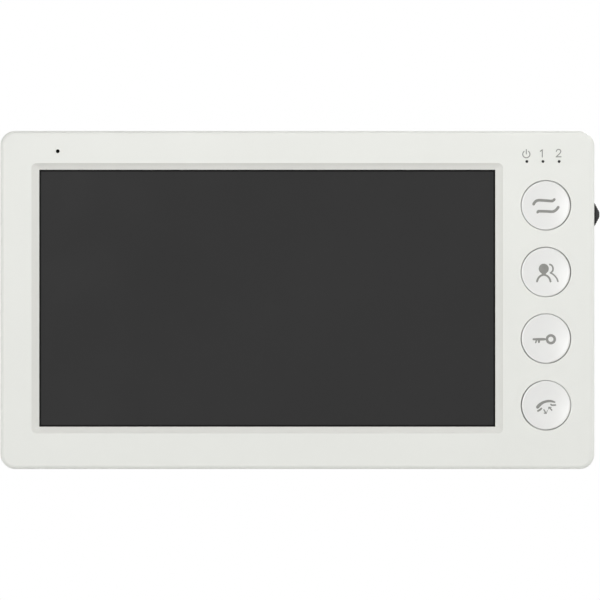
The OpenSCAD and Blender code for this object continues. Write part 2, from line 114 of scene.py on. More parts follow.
class Mesh:
    """Points and faces in millimetres, in the row frame."""

    def __init__(self):
        self.v, self.f = [], []
        self.marks = []   # (first face, last face + 1, material index)

    def loop(self, flat, y):
        """A loop of X-Z points at that Y."""
        i = len(self.v)
        self.v += [(p[0], y, p[1]) for p in flat]
        return list(range(i, len(self.v)))

    def points(self, pts):
        i = len(self.v)
        self.v += [tuple(p) for p in pts]
        return list(range(i, len(self.v)))

    def strip(self, a, b, skip=(), closed=True):
        n = len(a)
        for i in range(n if closed else n - 1):
            if i in skip:
                continue
            j = (i + 1) % n
            self.f.append((a[i], a[j], b[j], b[i]))

    def chain(self, *loops):
        for a, b in zip(loops, loops[1:]):
            self.strip(a, b)

    def fill(self, outer, holes=(), axes=(0, 2)):
        ids = list(outer) + [i for h in holes for i in h]
        loops = [[(self.v[i][axes[0]], self.v[i][axes[1]]) for i in l] for l in [outer, *holes]]
        for t in triangulate(loops):
            self.f.append(tuple(ids[k] for k in t))

    def turned(self, x, z, profile, n=48, angles=None, radius=None):
        """A closed solid of revolution about the Y line through x, z. The profile's [radius, y] points start and end on the axis, or close on themselves."""
        angles = angles or [2 * math.pi * i / n for i in range(n)]
        rings = []
        on_axis = profile[0][0] == 0
        for k, (r, y) in enumerate(profile):
            if r == 0:
                rings.append(self.points([(x, y, z)]))
                continue
            rings.append(self.points([
                (x + (radius(k, r, a) if radius else r) * math.cos(a), y,
                 z + (radius(k, r, a) if radius else r) * math.sin(a)) for a in angles]))
        pairs = list(zip(rings, rings[1:]))
        if not on_axis:
            pairs.append((rings[-1], rings[0]))
        for a, b in pairs:
            if len(a) == 1 and len(b) == 1:
                continue
            if len(a) == 1:
                for i in range(len(b)):
                    self.f.append((a[0], b[i], b[(i + 1) % len(b)]))
            elif len(b) == 1:
                for i in range(len(a)):
                    self.f.append((a[i], b[0], a[(i + 1) % len(a)]))
            else:
                self.strip(a, b)

    def block(self, x0, x1, y0, y1, z0, z1, c=0.0):
        """A block whose long edges are cut by c."""
        if c:
            pl = [(x0 + c, z0), (x1 - c, z0), (x1, z0 + c), (x1, z1 - c),
                  (x1 - c, z1), (x0 + c, z1), (x0, z1 - c), (x0, z0 + c)]
            pi = [(x0 + c, z0 + c), (x1 - c, z0 + c), (x1 - c, z0 + c), (x1 - c, z1 - c),
                  (x1 - c, z1 - c), (x0 + c, z1 - c), (x0 + c, z1 - c), (x0 + c, z0 + c)]
            pi = [(p[0] * 0.6 + q[0] * 0.4, p[1] * 0.6 + q[1] * 0.4) for p, q in zip(pi, pl)]
            l0, l1, l2, l3 = self.loop(pi, y0), self.loop(pl, y0 + c), self.loop(pl, y1 - c), self.loop(pi, y1)
            self.chain(l0, l1, l2, l3)
            self.fill(l0)
            self.fill(l3)
        else:
            p = [(x0, z0), (x1, z0), (x1, z1), (x0, z1)]
            a, b = self.loop(p, y0), self.loop(p, y1)
            self.strip(a, b)
            self.f.append(tuple(a))
            self.f.append(tuple(reversed(b)))

    def make(self, name, body, material, smooth=35.0, replaces=(), weighted=True, post=None):
        me = bpy.data.meshes.new(name)
        me.from_pydata([(a * MM, b * MM, c * MM) for a, b, c in self.v], [], self.f)
        which = np.zeros(len(self.f), dtype=np.int32)
        for first, last, k in self.marks:
            which[first:last] = k
        me.polygons.foreach_set("material_index", which)
        bm = bmesh.new()
        bm.from_mesh(me)
        bmesh.ops.remove_doubles(bm, verts=bm.verts, dist=1e-8)
        bmesh.ops.dissolve_degenerate(bm, edges=bm.edges, dist=1e-9)
        loose = [v for v in bm.verts if not v.link_faces]
        bmesh.ops.delete(bm, geom=loose, context="VERTS")
        bmesh.ops.recalc_face_normals(bm, faces=bm.faces)
        open_edges = sum(1 for e in bm.edges if len(e.link_faces) != 2)
        bm.to_mesh(me)
        bm.free()
        print(f"piece {name}: {len(me.vertices)} verts, {len(me.polygons)} faces, {open_edges} open edges")
        ob = bpy.data.objects.new(name, me)
        bpy.context.scene.collection.objects.link(ob)
        for m in material if isinstance(material, (list, tuple)) else [material]:
            me.materials.append(m)
        if post:
            post(ob)
        finish_shading(ob, smooth, weighted)
        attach(ob, body)
        if replaces:
            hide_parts(*replaces)
        return ob


def finish_shading(ob, smooth=35.0, weighted=True):
    me = ob.data
    me.polygons.foreach_set("use_smooth", [True] * len(me.polygons))
    me.set_sharp_from_angle(angle=math.radians(smooth))
    me.update()
    if weighted:
        m = ob.modifiers.new("normals", "WEIGHTED_NORMAL")
        m.mode = "FACE_AREA"
        m.weight = 100
        m.keep_sharp = True


def rrect(cx, cz, w, h, r, seg=10, right=(), top=(), left=(), bottom=()):
    """A rounded rectangle, anticlockwise from the middle of its right side's foot. right, top, left and bottom list extra points along each straight side."""
    x0, x1, z0, z1 = cx - w / 2, cx + w / 2, cz - h / 2, cz + h / 2
    pts = []

    def arc(ax, az, a0):
        for i in range(seg + 1):
            a = math.radians(a0 + 90 * i / seg)
            pts.append((ax + r * math.cos(a), az + r * math.sin(a)))

    pts += [(x1, z) for z in sorted(right)]
    arc(x1 - r, z1 - r, 0)
    pts += [(x, z1) for x in sorted(top, reverse=True)]
    arc(x0 + r, z1 - r, 90)
    pts += [(x0, z) for z in sorted(left, reverse=True)]
    arc(x0 + r, z0 + r, 180)
    pts += [(x, z0) for x in sorted(bottom)]
    arc(x1 - r, z0 + r, 270)
    return pts


def circle(cx, cz, r, n=64):
    return [(cx + r * math.cos(2 * math.pi * i / n), cz + r * math.sin(2 * math.pi * i / n)) for i in range(n)]


def stadium(cx, cz, half_len, r, seg=8):
    """A slot along Z with round ends."""
    pts = [(cx + r * math.cos(math.radians(180 * i / seg)), cz + half_len + r * math.sin(math.radians(180 * i / seg))) for i in range(seg + 1)]
    pts += [(cx - r * math.cos(math.radians(180 * i / seg)), cz - half_len - r * math.sin(math.radians(180 * i / seg))) for i in range(seg + 1)]
    return pts


def arc_steps(n):
    """Quarter-circle steps as (inset share, depth share), from the flat face round to the side."""
    return [(1 - math.sin(math.radians(90 * i / n)), 1 - math.cos(math.radians(90 * i / n))) for i in range(n + 1)]


# ----------------------------------------------------------------------------
# materials
# ----------------------------------------------------------------------------
def lin(*rgb):
    """sRGB 0-255 to linear RGBA."""
    out = []
    for c in rgb:
        c = c / 255
        out.append(c / 12.92 if c <= 0.04045 else ((c + 0.055) / 1.055) ** 2.4)
    return (*out, 1.0)


def mat(name, colour, rough=0.45, var=0.03, var_scale=60, grain=0.0, grain_scale=3000, rough_var=0.06,
        rough_scale=400, metal=0.0, spec=0.5, coat=0.0, coat_rough=0.1, sheen=0.0, scratch=0.0, stretch=(1, 1, 1),
        speck=0.0, speck_scale=900, detail=4.0, bump_dist=0.0001, wear=0.0, wear_colour=None, emission=None):
    """A procedural material: colour variation, roughness variation, fine grain bump, and optional edge wear."""
    m = bpy.data.materials.new(name)
    m.use_nodes = True
    nt = m.node_tree
    N, L = nt.nodes, nt.links
    N.clear()
    out = N.new("ShaderNodeOutputMaterial")
    b = N.new("ShaderNodeBsdfPrincipled")
    L.new(b.outputs[0], out.inputs[0])
    b.inputs["Metallic"].default_value = metal
    b.inputs["Specular IOR Level"].default_value = spec
    b.inputs["Coat Weight"].default_value = coat
    b.inputs["Coat Roughness"].default_value = coat_rough
    b.inputs["Sheen Weight"].default_value = sheen
    if emission:
        b.inputs["Emission Color"].default_value = emission
        b.inputs["Emission Strength"].default_value = 1.0
    tc = N.new("ShaderNodeTexCoord")
    mp = N.new("ShaderNodeMapping")
    mp.inputs["Scale"].default_value = stretch
    L.new(tc.outputs["Object"], mp.inputs["Vector"])
    n1 = N.new("ShaderNodeTexNoise")
    n1.inputs["Scale"].default_value = var_scale
    n1.inputs["Detail"].default_value = detail
    L.new(mp.outputs[0], n1.inputs["Vector"])
    ramp = N.new("ShaderNodeValToRGB")
    ramp.color_ramp.elements[0].position = 0.3
    ramp.color_ramp.elements[1].position = 0.7
    c = colour
    ramp.color_ramp.elements[0].color = (c[0] * (1 - var), c[1] * (1 - var), c[2] * (1 - var * 1.2), 1)
    ramp.color_ramp.elements[1].color = (min(c[0] * (1 + var), 1), min(c[1] * (1 + var), 1), min(c[2] * (1 + var * 0.8), 1), 1)
    L.new(n1.outputs["Fac"], ramp.inputs["Fac"])
    base = ramp.outputs["Color"]
    if speck:
        vo = N.new("ShaderNodeTexVoronoi")
        vo.inputs["Scale"].default_value = speck_scale
        L.new(mp.outputs[0], vo.inputs["Vector"])
        mr = N.new("ShaderNodeMapRange")
        mr.inputs["From Min"].default_value = 0.02
        mr.inputs["From Max"].default_value = 0.12
        mr.inputs["To Min"].default_value = speck
        mr.inputs["To Max"].default_value = 0.0
        L.new(vo.outputs["Distance"], mr.inputs["Value"])
        mx = N.new("ShaderNodeMixRGB")
        mx.inputs["Color2"].default_value = (c[0] * 0.45, c[1] * 0.45, c[2] * 0.45, 1)
        L.new(mr.outputs[0], mx.inputs["Fac"])
        L.new(base, mx.inputs["Color1"])
        base = mx.outputs[0]
    if wear:
        geo = N.new("ShaderNodeNewGeometry")
        wn = N.new("ShaderNodeTexNoise")
        wn.inputs["Scale"].default_value = 700
        L.new(tc.outputs["Object"], wn.inputs["Vector"])
        add = N.new("ShaderNodeMath")
        add.operation = "MULTIPLY"
        sub = N.new("ShaderNodeMapRange")
        sub.inputs["From Min"].default_value = 0.52
        sub.inputs["From Max"].default_value = 0.62
        L.new(geo.outputs["Pointiness"], sub.inputs["Value"])
        L.new(sub.outputs[0], add.inputs[0])
        L.new(wn.outputs["Fac"], add.inputs[1])
        sc = N.new("ShaderNodeMath")
        sc.operation = "MULTIPLY"
        sc.inputs[1].default_value = wear
        sc.use_clamp = True
        L.new(add.outputs[0], sc.inputs[0])
        mx = N.new("ShaderNodeMixRGB")
        mx.inputs["Color2"].default_value = wear_colour or (c[0] * 1.3, c[1] * 1.3, c[2] * 1.3, 1)
        L.new(sc.outputs[0], mx.inputs["Fac"])
        L.new(base, mx.inputs["Color1"])
        base = mx.outputs[0]
    L.new(base, b.inputs["Base Color"])
    n2 = N.new("ShaderNodeTexNoise")
    n2.inputs["Scale"].default_value = rough_scale
    n2.inputs["Detail"].default_value = 3
    L.new(mp.outputs[0], n2.inputs["Vector"])
    r = N.new("ShaderNodeMapRange")
    r.inputs["From Min"].default_value = 0.3
    r.inputs["From Max"].default_value = 0.7
    r.inputs["To Min"].default_value = max(rough - rough_var, 0.02)
    r.inputs["To Max"].default_value = min(rough + rough_var, 1.0)
    L.new(n2.outputs["Fac"], r.inputs["Value"])
    L.new(r.outputs[0], b.inputs["Roughness"])
    if grain:
        n3 = N.new("ShaderNodeTexNoise")
        n3.inputs["Scale"].default_value = grain_scale
        n3.inputs["Detail"].default_value = 2
        n3.inputs["Roughness"].default_value = 0.6
        L.new(mp.outputs[0], n3.inputs["Vector"])
        bp = N.new("ShaderNodeBump")
        bp.inputs["Strength"].default_value = grain
        bp.inputs["Distance"].default_value = bump_dist
        L.new(n3.outputs["Fac"], bp.inputs["Height"])
        if scratch:
            n4 = N.new("ShaderNodeTexNoise")
            n4.inputs["Scale"].default_value = 90
            n4.inputs["Detail"].default_value = 1
            mp4 = N.new("ShaderNodeMapping")
            mp4.inputs["Scale"].default_value = (2, 2, 90)
            mp4.inputs["Rotation"].default_value = (0, 0.3, 0)
            L.new(tc.outputs["Object"], mp4.inputs["Vector"])
            L.new(mp4.outputs[0], n4.inputs["Vector"])
            b2 = N.new("ShaderNodeBump")
            b2.inputs["Strength"].default_value = scratch
            b2.inputs["Distance"].default_value = 0.00005
            L.new(n4.outputs["Fac"], b2.inputs["Height"])
            L.new(b2.outputs[0], bp.inputs["Normal"])
        L.new(bp.outputs[0], b.inputs["Normal"])
    return m


M = {}
M["casing"] = mat("casing_satin", lin(233, 234, 229), rough=0.48, var=0.008, var_scale=25, grain=0.22, grain_scale=5200,
                  rough_var=0.05, rough_scale=900, bump_dist=0.00002)
M["casing_back"] = mat("casing_textured", lin(231, 232, 226), rough=0.52, var=0.012, var_scale=30, grain=0.5, grain_scale=2600,
                       rough_var=0.06, rough_scale=700, bump_dist=0.00005)
M["key"] = mat("key_satin", lin(236, 236, 234), rough=0.30, var=0.004, var_scale=40, grain=0.12, grain_scale=7000,
               rough_var=0.012, rough_scale=3500, bump_dist=0.00001)
M["border"] = mat("border_satin", lin(226, 226, 221), rough=0.55, var=0.01, var_scale=30, grain=0.18, grain_scale=6000,
                  rough_var=0.05, rough_scale=800, bump_dist=0.00002)
M["print"] = mat("grey_print", lin(141, 141, 137), rough=0.55, var=0.05, var_scale=900, grain=0.3, grain_scale=9000, bump_dist=0.00001)
M["black_plastic"] = mat("black_plastic", lin(22, 22, 23), rough=0.42, var=0.1, var_scale=200, grain=0.4, grain_scale=3500,
                         bump_dist=0.00004, wear=0.35, wear_colour=lin(70, 70, 70))
M["dark_plastic"] = mat("dark_plastic", lin(52, 52, 54), rough=0.5, var=0.06, var_scale=120, grain=0.4, grain_scale=2500, bump_dist=0.00005)
M["steel"] = mat("zinc_steel", (0.63, 0.64, 0.66, 1), rough=0.36, var=0.05, var_scale=320, grain=0.35, grain_scale=2600,
                 metal=1.0, rough_var=0.05, rough_scale=900, stretch=(0.35, 1, 1), scratch=0.08, speck=0.10, speck_scale=420,
                 bump_dist=0.00002, wear=0.5, wear_colour=(0.85, 0.85, 0.86, 1))
M["sheet"] = mat("sheet_metal", (0.60, 0.61, 0.63, 1), rough=0.36, var=0.05, var_scale=90, grain=0.2, grain_scale=1200,
                 metal=1.0, rough_var=0.08, rough_scale=200, stretch=(0.1, 1, 1), bump_dist=0.00003)
M["screw"] = mat("screw_steel", (0.60, 0.61, 0.62, 1), rough=0.3, var=0.08, var_scale=600, grain=0.2, grain_scale=4000, metal=1.0)
M["screw_black"] = mat("screw_black", (0.035, 0.035, 0.038, 1), rough=0.4, var=0.15, var_scale=600, grain=0.3, grain_scale=4000,
                       metal=0.6, wear=0.5, wear_colour=(0.3, 0.3, 0.3, 1))
M["board"] = mat("board_green", lin(20, 92, 52), rough=0.34, var=0.10, var_scale=400, grain=0.3, grain_scale=1800,
                 speck=0.6, speck_scale=260, coat=0.4, coat_rough=0.2)
M["chip"] = mat("chip_black", lin(34, 34, 36), rough=0.55, var=0.08, var_scale=500, grain=0.5, grain_scale=5000)
M["can"] = mat("can_metal", (0.72, 0.73, 0.75, 1), rough=0.28, var=0.05, var_scale=500, grain=0.15, grain_scale=3000, metal=1.0)
M["pin"] = mat("pin_tin", (0.78, 0.74, 0.62, 1), rough=0.25, var=0.05, var_scale=900, grain=0.1, metal=1.0)
M["mic"] = mat("mic_can", (0.70, 0.71, 0.73, 1), rough=0.3, var=0.05, var_scale=500, grain=0.15, grain_scale=3000, metal=1.0)
M["nylon"] = mat("nylon", lin(236, 232, 216), rough=0.45, var=0.03, var_scale=200, grain=0.2, grain_scale=3000)
M["foam"] = mat("foam", lin(28, 28, 29), rough=0.95, var=0.25, var_scale=1500, grain=0.9, grain_scale=1800, bump_dist=0.0003)
M["rubber"] = mat("rubber", lin(24, 24, 24), rough=0.75, var=0.12, var_scale=600, grain=0.4, grain_scale=2500)
M["tape"] = mat("tape", lin(20, 20, 20), rough=0.6, var=0.1, var_scale=800, grain=0.3)
M["lcd"] = mat("lcd_glass", (0.012, 0.012, 0.014, 1), rough=0.25, var=0.1, var_scale=30, grain=0.05, grain_scale=9000)
M["diffuser"] = mat("diffuser", lin(232, 232, 226), rough=0.6, var=0.02, var_scale=60, grain=0.2)
M["amber"] = mat("amber_flex", lin(196, 120, 40), rough=0.35, var=0.12, var_scale=500, grain=0.2, stretch=(6, 1, 1), coat=0.3)
M["cable_grey"] = mat("cable_grey", lin(165, 165, 168), rough=0.5, var=0.1, var_scale=700, grain=0.3, stretch=(1, 1, 8))
M["cable_red"] = mat("cable_red", lin(160, 24, 22), rough=0.4, var=0.06, var_scale=500, grain=0.2)
M["cable_black"] = mat("cable_black", lin(26, 26, 26), rough=0.45, var=0.1, var_scale=500, grain=0.2)
M["paper"] = mat("cone_paper", lin(30, 30, 31), rough=0.85, var=0.3, var_scale=1200, grain=0.7, grain_scale=2200, bump_dist=0.0002)
M["magnet"] = mat("magnet", lin(66, 66, 68), rough=0.5, var=0.1, var_scale=300, grain=0.4, metal=0.4)
M["led"] = mat("led_clear", lin(238, 230, 200), rough=0.25, var=0.03, grain=0.1)
M["smoked"] = mat("smoked_guide", (0.006, 0.006, 0.006, 1), rough=0.3, var=0.1, var_scale=900, grain=0.1)
M["floor"] = mat("floor_pale", (0.66, 0.66, 0.655, 1), rough=0.75, var=0.006, var_scale=3, grain=0.05, grain_scale=200)


def screen_material():
    """Smoked window over a switched-off display, in one dark tone. Painted shade: a band about half a millimetre wide
    round the window's edge, next to the border, is painted near-black.
    """
    m = mat("screen_smoked", (0.0325, 0.0325, 0.0327, 1), rough=0.07, var=0.03, var_scale=14, rough_var=0.02, rough_scale=30,
            grain=0.02, grain_scale=900, bump_dist=0.00001)
    nt = m.node_tree
    N, L = nt.nodes, nt.links
    b = next(n for n in N if n.type == "BSDF_PRINCIPLED")
    b.inputs["IOR"].default_value = 1.49
    old = b.inputs["Base Color"].links[0].from_socket
    tc = next(n for n in N if n.type == "TEX_COORD")
    sep = N.new("ShaderNodeSeparateXYZ")
    L.new(tc.outputs["Object"], sep.inputs[0])

    def edge(axis, centre, half):
        s = N.new("ShaderNodeMath")
        s.operation = "SUBTRACT"
        s.inputs[1].default_value = centre * MM
        L.new(sep.outputs[axis], s.inputs[0])
        a = N.new("ShaderNodeMath")
        a.operation = "ABSOLUTE"
        L.new(s.outputs[0], a.inputs[0])
        r = N.new("ShaderNodeMapRange")
        r.inputs["From Min"].default_value = (half - 0.15) * MM
        r.inputs["From Max"].default_value = (half + 0.05) * MM
        r.inputs["To Min"].default_value = 1.0
        r.inputs["To Max"].default_value = 0.0
        L.new(a.outputs[0], r.inputs["Value"])
        return r.outputs[0]

    unshaded_area = N.new("ShaderNodeMath")
    unshaded_area.operation = "MULTIPLY"
    L.new(edge("X", SCX, SW / 2 - 0.55), unshaded_area.inputs[0])
    L.new(edge("Z", SCZ, SH / 2 - 0.55), unshaded_area.inputs[1])
    mx = N.new("ShaderNodeMixRGB")
    # painted shade: near-black colour for the band round the window's edge
    mx.inputs["Color1"].default_value = (0.004, 0.004, 0.004, 1)
    L.new(unshaded_area.outputs[0], mx.inputs["Fac"])
    L.new(old, mx.inputs["Color2"])
    L.new(mx.outputs[0], b.inputs["Base Color"])
    return m


M["screen"] = screen_material()


def microphone_material():
    """A metal can with black felt on its front face."""
    m = M["mic"]
    N, L = m.node_tree.nodes, m.node_tree.links
    b = next(n for n in N if n.type == "BSDF_PRINCIPLED")
    tc = next(n for n in N if n.type == "TEX_COORD")
    sep, mask = N.new("ShaderNodeSeparateXYZ"), N.new("ShaderNodeMapRange")
    L.new(tc.outputs["Object"], sep.inputs[0])
    mask.inputs["From Min"].default_value = (YF + 2.93) * MM
    mask.inputs["From Max"].default_value = (YF + 2.97) * MM
    L.new(sep.outputs["Y"], mask.inputs["Value"])
    colour = N.new("ShaderNodeMixRGB")
    colour.inputs["Color1"].default_value = (0.004, 0.004, 0.004, 1)
    L.new(mask.outputs[0], colour.inputs["Fac"])
    L.new(b.inputs["Base Color"].links[0].from_socket, colour.inputs["Color2"])
    L.new(colour.outputs[0], b.inputs["Base Color"])
    L.new(mask.outputs[0], b.inputs["Metallic"])
    rough = N.new("ShaderNodeMapRange")
    rough.inputs["To Min"].default_value = 0.95
    rough.inputs["To Max"].default_value = 0.3
    L.new(mask.outputs[0], rough.inputs["Value"])
    L.new(rough.outputs[0], b.inputs["Roughness"])


microphone_material()

CAD_MATERIAL = {
    "wall_bracket": "steel", "window_tape": "tape", "lcd_gasket": "foam", "lcd_bezel": "sheet", "lcd_glass": "lcd",
    "backlight_unit": "diffuser", "lcd_holder": "dark_plastic", "lcd_ribbon": "amber", "ribbon_connector": "nylon",
    "main_board": "board", "main_chips": "chip", "capacitors": "can", "inductors": "chip", "wire_headers": "nylon",
    "header_pins": "pin", "key_board": "board", "key_cable": "cable_grey", "tact_switches": "chip",
    "jog_switch": "dark_plastic", "status_leds": "led", "light_guide": "smoked", "mic_capsule": "mic",
    "mic_boot": "rubber", "mic_lead": "cable_red", "speaker_frame": "sheet", "speaker_cone": "paper",
    "speaker_magnet": "magnet", "speaker_gasket": "foam", "speaker_lead": "cable_black", "case_screws": "screw_black",
    "holder_screws": "screw", "board_screws": "screw", "speaker_screws": "screw",
    "plunger_monitor": "dark_plastic", "plunger_intercom": "dark_plastic", "plunger_unlock": "dark_plastic",
    "plunger_talk": "dark_plastic", "jog_stem": "dark_plastic", "jog_knob": "black_plastic",
    "front_shell": "casing", "back_shell": "casing_back", "screen_window": "screen",
    "key_monitor": "key", "key_intercom": "key", "key_unlock": "key", "key_talk": "key",
}
for name, which in CAD_MATERIAL.items():
    o = NODES[name]
    o.data.materials.clear()
    o.data.materials.append(M[which])


# ----------------------------------------------------------------------------
# front casing
# ----------------------------------------------------------------------------
def front_shell():
    g = Mesh()
    z_cut, z_in = (JZ - 5.05, JZ + 5.05), (JZ - 4.85, JZ + 4.85)
    y_cut, y_in = (JY - 1.75, JY + 1.75), (JY - 1.55, JY + 1.55)
    seg = 14

    def outer(inset, y):
        return g.loop(rrect(0, 0, BW - 2 * inset, BH - 2 * inset, CORNER - inset, seg, right=z_cut), y)

    def inner(y, inset=WALL):
        return g.loop(rrect(0, 0, BW - 2 * inset, BH - 2 * inset, CORNER - WALL + (WALL - inset), seg, right=z_in), y)

    rounding = [outer(s * EDGE, YF + d * EDGE) for s, d in arc_steps(9)]
    flank = [outer(0, y_cut[0]), outer(0, y_cut[1]), outer(0, YF + SPLIT - 0.25)]
    back_edge = [outer(0.25 * (1 - math.cos(math.radians(a))), YF + SPLIT - 0.25 + 0.25 * math.sin(math.radians(a)))
                 for a in (30, 60, 90)]
    for a, b in zip(rounding, rounding[1:]):
        g.strip(a, b)
    g.strip(rounding[-1], flank[0])
    g.strip(flank[0], flank[1], skip=(0,))
    g.strip(flank[1], flank[2])
    g.chain(flank[2], *back_edge)
    i_top = inner(YF + SPLIT)
    i1, i0, i_floor = inner(y_in[1]), inner(y_in[0]), inner(YF + FACE)
    g.chain(back_edge[-1], i_top, i1)
    g.strip(i1, i0, skip=(0,))
    g.strip(i0, i_floor)
    # the jog control's slot
    cell = [flank[0][0], flank[0][1], flank[1][1], flank[1][0]]
    cell_in = [i0[0], i0[1], i1[1], i1[0]]
    lead = g.points([(HW - 0.2, y_in[0], z_in[0]), (HW - 0.2, y_in[0], z_in[1]),
                     (HW - 0.2, y_in[1], z_in[1]), (HW - 0.2, y_in[1], z_in[0])])
    g.strip(cell, lead)
    g.strip(lead, cell_in)

    # sloping border, window opening and the window's seat
    def window(grow, y, r):
        return g.loop(rrect(SCX, SCZ, SW + 2 * grow * BEVX, SH + 2 * grow * BEVZ, r, 6), y)

    def plain(dx, y, r):
        return g.loop(rrect(SCX, SCZ, SW + 2 * dx, SH + 2 * dx, r, 6), y)

    def rim(dx, y, r):
        return g.loop(rrect(SCX, SCZ, SW + 2 * (BEVX + dx), SH + 2 * (BEVZ + dx), r, 6), y)

    def slope(t):
        """The border's surface at share t of the way in: steepest at its outer edge."""
        r = 1.60 * (1 - t) + 0.24 * t
        y = YF + 0.05 + (BEVD - 0.11) * (1 - (1 - t) ** 1.35)
        return g.loop(rrect(SCX, SCZ, SW + 2 * BEVX * (1 - t) + 0.28 * t, SH + 2 * BEVZ * (1 - t) + 0.28 * t, r, 6), y)

    rim0, rim1 = rim(0.09, YF, 1.69), rim(0.03, YF + 0.02, 1.63)
    slopes = [slope(t) for t in (0.0, 0.04, 0.10, 0.20, 0.32, 0.46, 0.62, 0.80)]
    low1, low2, low3 = plain(0.14, YF + BEVD - 0.06, 0.24), plain(0.03, YF + BEVD + 0.02, 0.13), plain(0, YF + BEVD + 0.14, 0.1)
    seat = plain(0, YF + 1.5, 0.1)
    g.chain(rim0, rim1)
    first = len(g.f)
    g.chain(rim1, *slopes, low1, low2)
    g.marks.append((first, len(g.f), 1))
    g.chain(low2, low3, seat)
    pocket0 = g.loop(rrect(SCX, SCZ, LENS_W + 0.3, LENS_H + 0.3, 0.3, 6), YF + 1.5)
    pocket1 = g.loop(rrect(SCX, SCZ, LENS_W + 0.3, LENS_H + 0.3, 0.3, 6), YF + FACE)
    g.strip(seat, pocket0)
    g.strip(pocket0, pocket1)

    # round holes
    front_holes, inner_holes = [rim0], [pocket1]

    def hole(x, z, r, edge, n):
        loops = [g.loop(circle(x, z, r + s * edge, n), YF + d * edge) for s, d in arc_steps(4)]
        end = g.loop(circle(x, z, r, n), YF + FACE)
        g.chain(*loops, end)
        front_holes.append(loops[0])
        inner_holes.append(end)

    for z in KEY_Z:
        hole(KX, z, KR + KGAP - 0.04, 0.07, 96)
    for x in LED_X:
        hole(x, LED_Z, 0.5, 0.06, 24)
    hole(MIC_X, MIC_Z, 0.65, 0.06, 28)
    g.fill(rounding[0], front_holes)
    g.fill(i_floor, inner_holes)

    # inside: posts, rings, cup, pads
    def post(x, z, r, y1, bore):
        g.turned(x, z, [(0, YF + FACE - 0.05), (r, YF + FACE - 0.05), (r, y1 - 0.15), (r - 0.15, y1),
                        (bore, y1), (bore, YF + FACE + 0.6), (0, YF + FACE + 0.6)], 28)

    def tube(x, z, r0, r1, y0, y1):
        g.turned(x, z, [(r1, y0), (r1, y1 - 0.1), (r1 - 0.1, y1), (r0 + 0.1, y1), (r0, y1 - 0.1), (r0, y0)], 64)

    for sx in (-1, 1):
        for sz in (-1, 1):
            post(sx * CASE_X, sz * CASE_Z, 2.4, YF + 7.5, 1.17)
            z0, z1 = sorted((sz * (CASE_Z + 1.9), sz * (HH - WALL + 0.3)))
            g.block(sx * CASE_X - 0.6, sx * CASE_X + 0.6, YF + FACE - 0.05, YF + 7.2, z0, z1)
    for k, (x, z) in enumerate(HOLDER):
        post(x, z, 2.1, YF + 7.2, 0.92)
        if k < 2:
            g.block(-HW + WALL - 0.3, x - 1.75, YF + FACE - 0.05, YF + 7.1, z - 0.6, z + 0.6)
    for x, z in KEYB:
        post(x, z, 2.0, YF + 6.8, 0.92)
    for z in KEY_Z:
        tube(KX, z, FLANGE + 0.3, FLANGE + 1.1, YF + FACE - 0.05, YF + 3.6)
        g.block(KX - 0.8, KX + 0.8, YF + FACE - 0.05, YF + 3.6, z - FLANGE - 0.7, z - FLANGE + 0.6)
    tube(MIC_X, MIC_Z, 2.5, 3.0, YF + FACE - 0.05, YF + 5.0)
    for z in (-30, 30):
        g.block(LCD_X0 + 0.2, LCD_X0 + 2, YF + FACE - 0.05, YF + 3.4, z - 4, z + 4)
        g.block(LCD_X1 - 2, LCD_X1 - 0.2, YF + FACE - 0.05, YF + 3.4, z - 4, z + 4)
    for x in (-60, 0, 45):
        g.block(x - 4, x + 4, YF + FACE - 0.05, YF + 3.4, LCD_Z0 + 0.2, LCD_Z0 + 3.2)
    return g.make("front_casing", "monitor", [M["casing"], M["border"]], replaces=["front_shell"])


